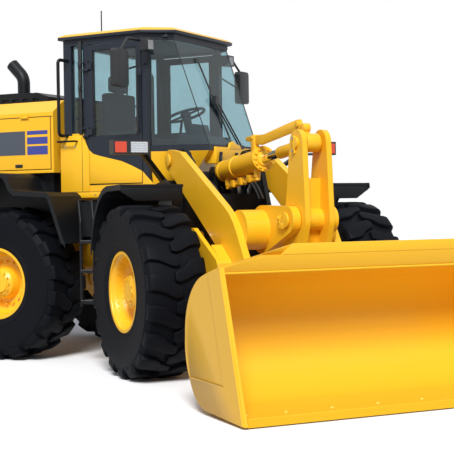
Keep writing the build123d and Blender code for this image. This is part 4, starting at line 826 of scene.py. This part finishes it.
def seen(tree):
    """1 for what the camera sees, directly, in gloss or through glass, and 0 for the light that it gives."""
    path = add(tree, "ShaderNodeLightPath")
    gloss = add(tree, "ShaderNodeMath", operation="MAXIMUM",
                links=[(0, path, "Is Camera Ray"), (1, path, "Is Glossy Ray")])
    return add(tree, "ShaderNodeMath", operation="MAXIMUM", links=[(0, gloss, 0), (1, path, "Is Transmission Ray")])


def make_floor(reach):
    """Wide matte floor that keeps the shadow and looks white."""
    mesh = bpy.data.meshes.new("floor")
    mesh.from_pydata([(-reach, -reach, 0), (reach, -reach, 0), (reach, reach, 0), (-reach, reach, 0)], [],
                     [(0, 1, 2, 3)])
    floor = stand("floor", mesh)
    floor.location.z = -FLOOR_DROP
    material = bpy.data.materials.new("pale_floor")
    material.use_nodes = True
    tree = material.node_tree
    matte = tree.nodes["Principled BSDF"]
    shade = add(tree, "ShaderNodeMix", data_type="RGBA", links=[("Factor", seen(tree), 0)],
                values={"A": (FLOOR_LIT,) * 3 + (1,), "B": (FLOOR_SEEN,) * 3 + (1,)})
    tree.links.new(shade.outputs["Result"], matte.inputs["Base Color"])
    matte.inputs["Roughness"].default_value = 0.9
    matte.inputs["Specular IOR Level"].default_value = 0.1
    mesh.materials.append(material)


def make_lights(sizes):
    """Faint sky that looks white, a soft key and a softer fill."""
    world = bpy.data.worlds.new("studio")
    bpy.context.scene.world = world
    world.use_nodes = True
    tree = world.node_tree
    ground = tree.nodes["Background"]
    ground.inputs["Color"].default_value = SKY_TINT
    ground.inputs["Strength"].default_value = sizes.sky
    white = add(tree, "ShaderNodeBackground", values={"Color": (1, 1, 1, 1), "Strength": 1.0})
    mix = add(tree, "ShaderNodeMixShader", links=[("Fac", seen(tree), 0), (1, ground, 0), (2, white, 0)])
    tree.links.new(mix.outputs[0], tree.nodes["World Output"].inputs["Surface"])
    for name, energy, angle, turn in (("key", sizes.key, sizes.spread, KEY_TURN),
                                      ("fill", FILL, math.radians(FILL_SPREAD), FILL_TURN)):
        light = bpy.data.lights.new(name, "SUN")
        light.energy = energy
        light.angle = angle
        stand(name, light).rotation_euler = [math.radians(v) for v in turn]


def make_camera():
    """Camera that was fitted to the picture."""
    ahead = Vector((math.cos(PITCH) * math.cos(YAW), math.cos(PITCH) * math.sin(YAW), math.sin(PITCH)))
    right = ahead.cross(Vector((0, 0, 1))).normalized()
    up = right.cross(ahead)
    level_right = right * math.cos(ROLL) + up * math.sin(ROLL)
    level_up = -right * math.sin(ROLL) + up * math.cos(ROLL)
    camera_data = bpy.data.cameras.new("camera")
    camera_data.sensor_width = SENSOR
    camera_data.lens = FOCAL
    camera = stand("camera", camera_data)
    camera.matrix_world = Matrix.Translation(EYE) @ Matrix((level_right, level_up, -ahead)).transposed().to_4x4()
    bpy.context.scene.camera = camera
    bpy.context.scene.view_settings.view_transform = "Standard"


def make_stage(sizes):
    """Floor, lights and camera."""
    make_floor(sizes.reach)
    make_lights(sizes)
    make_camera()


# ---- operators and panel
class LOADER_OT_finishes(bpy.types.Operator):
    """Makes every finish and paints the CAD pieces with them"""
    bl_idname = "loader.finishes"
    bl_label = "Finishes"

    def execute(self, context):
        make_materials(context.scene.loader_colours)
        finish_of = {"yellow_paint": "enamel", "dark_paint": "dark_enamel", "chrome_rod": "chrome",
                     "tyre_rubber": "tyre", "tinted_glass": "glass", "black_plastic": "abs", "seat_fabric": "vinyl",
                     "cast_block": "cast", "lamp_lens": "red", "clear_lens": "lens", "amber_lens": "amber",
                     "mirror_glass": "mirror"}
        for node, slot in SLOT_OF.items():
            paint(finish_of[slot], node)
        paint("cab_enamel", "cab_frame", "door_right", "door_left")
        paint("interior", "cab_controls", "seat_base")
        return {"FINISHED"}


class LOADER_OT_wheels(bpy.types.Operator):
    """Builds the four tyres with their lugs, the rims, wheel nuts and hub bolts"""
    bl_idname = "loader.wheels"
    bl_label = "Wheels"

    def execute(self, context):
        make_wheels(context.scene.loader_tyres)
        return {"FINISHED"}


class LOADER_OT_cab_skins(bpy.types.Operator):
    """Builds the yellow skins on both sides of the cab and their joints"""
    bl_idname = "loader.cab_skins"
    bl_label = "Cab skins"

    def execute(self, context):
        cab_skins()
        return {"FINISHED"}


class LOADER_OT_cab_trim(bpy.types.Operator):
    """Builds door handles, posts, gaskets, drip rail and antenna base"""
    bl_idname = "loader.cab_trim"
    bl_label = "Cab trim"

    def execute(self, context):
        cab_trim()
        return {"FINISHED"}


class LOADER_OT_wipers(bpy.types.Operator):
    """Builds the windscreen's wiper"""
    bl_idname = "loader.wipers"
    bl_label = "Wiper"

    def execute(self, context):
        wipers()
        return {"FINISHED"}


class LOADER_OT_cowl_cover(bpy.types.Operator):
    """Builds the yellow cover under the windscreen, its brackets and a dark sheet below the cab as painted shade"""
    bl_idname = "loader.cowl_cover"
    bl_label = "Cowl cover"

    def execute(self, context):
        cowl_cover()
        return {"FINISHED"}


class LOADER_OT_cab_inside(bpy.types.Operator):
    """Builds dashboard, levers, guard bars, lining and the padded seat"""
    bl_idname = "loader.cab_inside"
    bl_label = "Cab interior"

    def execute(self, context):
        cab_inside()
        return {"FINISHED"}


class LOADER_OT_mirrors(bpy.types.Operator):
    """Builds the rounded housings of mirrors and work lamps, and the mirrors' brackets"""
    bl_idname = "loader.mirrors"
    bl_label = "Mirrors"

    def execute(self, context):
        mirrors()
        return {"FINISHED"}


class LOADER_OT_hood(bpy.types.Operator):
    """Builds stripes, blank plates, seams, latches, louvres, the exhaust's bore and the radiator's core"""
    bl_idname = "loader.hood"
    bl_label = "Hood"

    def execute(self, context):
        make_hood(context.scene.loader_hood)
        return {"FINISHED"}


class LOADER_OT_linkage(bpy.types.Operator):
    """Builds gland, ports, hoses, pin caps and lock plates of the loader linkage"""
    bl_idname = "loader.linkage"
    bl_label = "Linkage fittings"

    def execute(self, context):
        make_linkage(context.scene.loader_linkage)
        return {"FINISHED"}


class LOADER_OT_bucket(bpy.types.Operator):
    """Builds the bucket's painted faces, spill guard, welds and edge bolts"""
    bl_idname = "loader.bucket"
    bl_label = "Bucket"

    def execute(self, context):
        make_bucket(context.scene.loader_bucket)
        return {"FINISHED"}


class LOADER_OT_chassis(bpy.types.Operator):
    """Builds step treads, headlamp insides, fender flaps and the plate and bolts of the front towers, the dark plate
    partly as painted shade
    """
    bl_idname = "loader.chassis"
    bl_label = "Chassis fittings"

    def execute(self, context):
        make_chassis()
        return {"FINISHED"}


class LOADER_OT_stage(bpy.types.Operator):
    """Sets the floor, the soft light and the camera"""
    bl_idname = "loader.stage"
    bl_label = "Stage"

    def execute(self, context):
        make_stage(context.scene.loader_stage)
        return {"FINISHED"}


GROUPS = {"loader_colours": LoaderColours, "loader_tyres": LoaderTyres, "loader_hood": LoaderHood,
          "loader_linkage": LoaderLinkage, "loader_bucket": LoaderBucket, "loader_stage": LoaderStage}
OPERATORS = (LOADER_OT_finishes, LOADER_OT_wheels, LOADER_OT_cab_skins, LOADER_OT_cab_trim, LOADER_OT_wipers,
             LOADER_OT_cowl_cover, LOADER_OT_cab_inside, LOADER_OT_mirrors, LOADER_OT_hood, LOADER_OT_linkage,
             LOADER_OT_bucket, LOADER_OT_chassis, LOADER_OT_stage)


class LOADER_PT_dressing(bpy.types.Panel):
    """Settings and steps of the wheel loader's dressing"""
    bl_idname = "LOADER_PT_dressing"
    bl_label = "Wheel loader"
    bl_space_type = "VIEW_3D"
    bl_region_type = "UI"
    bl_category = "Loader"

    def draw(self, context):
        for name, group in GROUPS.items():
            settings = getattr(context.scene, name)
            column = self.layout.column(heading=group.__name__[len("Loader"):])
            for key in group.__annotations__:
                column.prop(settings, key)
        for operator in OPERATORS:
            self.layout.operator(operator.bl_idname)


def register():
    for made in (*GROUPS.values(), *OPERATORS, LOADER_PT_dressing):
        bpy.utils.register_class(made)
    for name, group in GROUPS.items():
        setattr(bpy.types.Scene, name, PointerProperty(type=group))


def unregister():
    for name in GROUPS:
        delattr(bpy.types.Scene, name)
    for made in reversed((*GROUPS.values(), *OPERATORS, LOADER_PT_dressing)):
        bpy.utils.unregister_class(made)


def main():
    register()
    bpy.ops.loader.finishes()
    bpy.ops.loader.wheels()
    bpy.ops.loader.cab_skins()
    bpy.ops.loader.cab_trim()
    bpy.ops.loader.wipers()
    bpy.ops.loader.cowl_cover()
    bpy.ops.loader.cab_inside()
    bpy.ops.loader.mirrors()
    bpy.ops.loader.hood()
    bpy.ops.loader.linkage()
    bpy.ops.loader.bucket()
    bpy.ops.loader.chassis()
    bpy.ops.loader.stage()


if __name__ == "__main__":
    main()
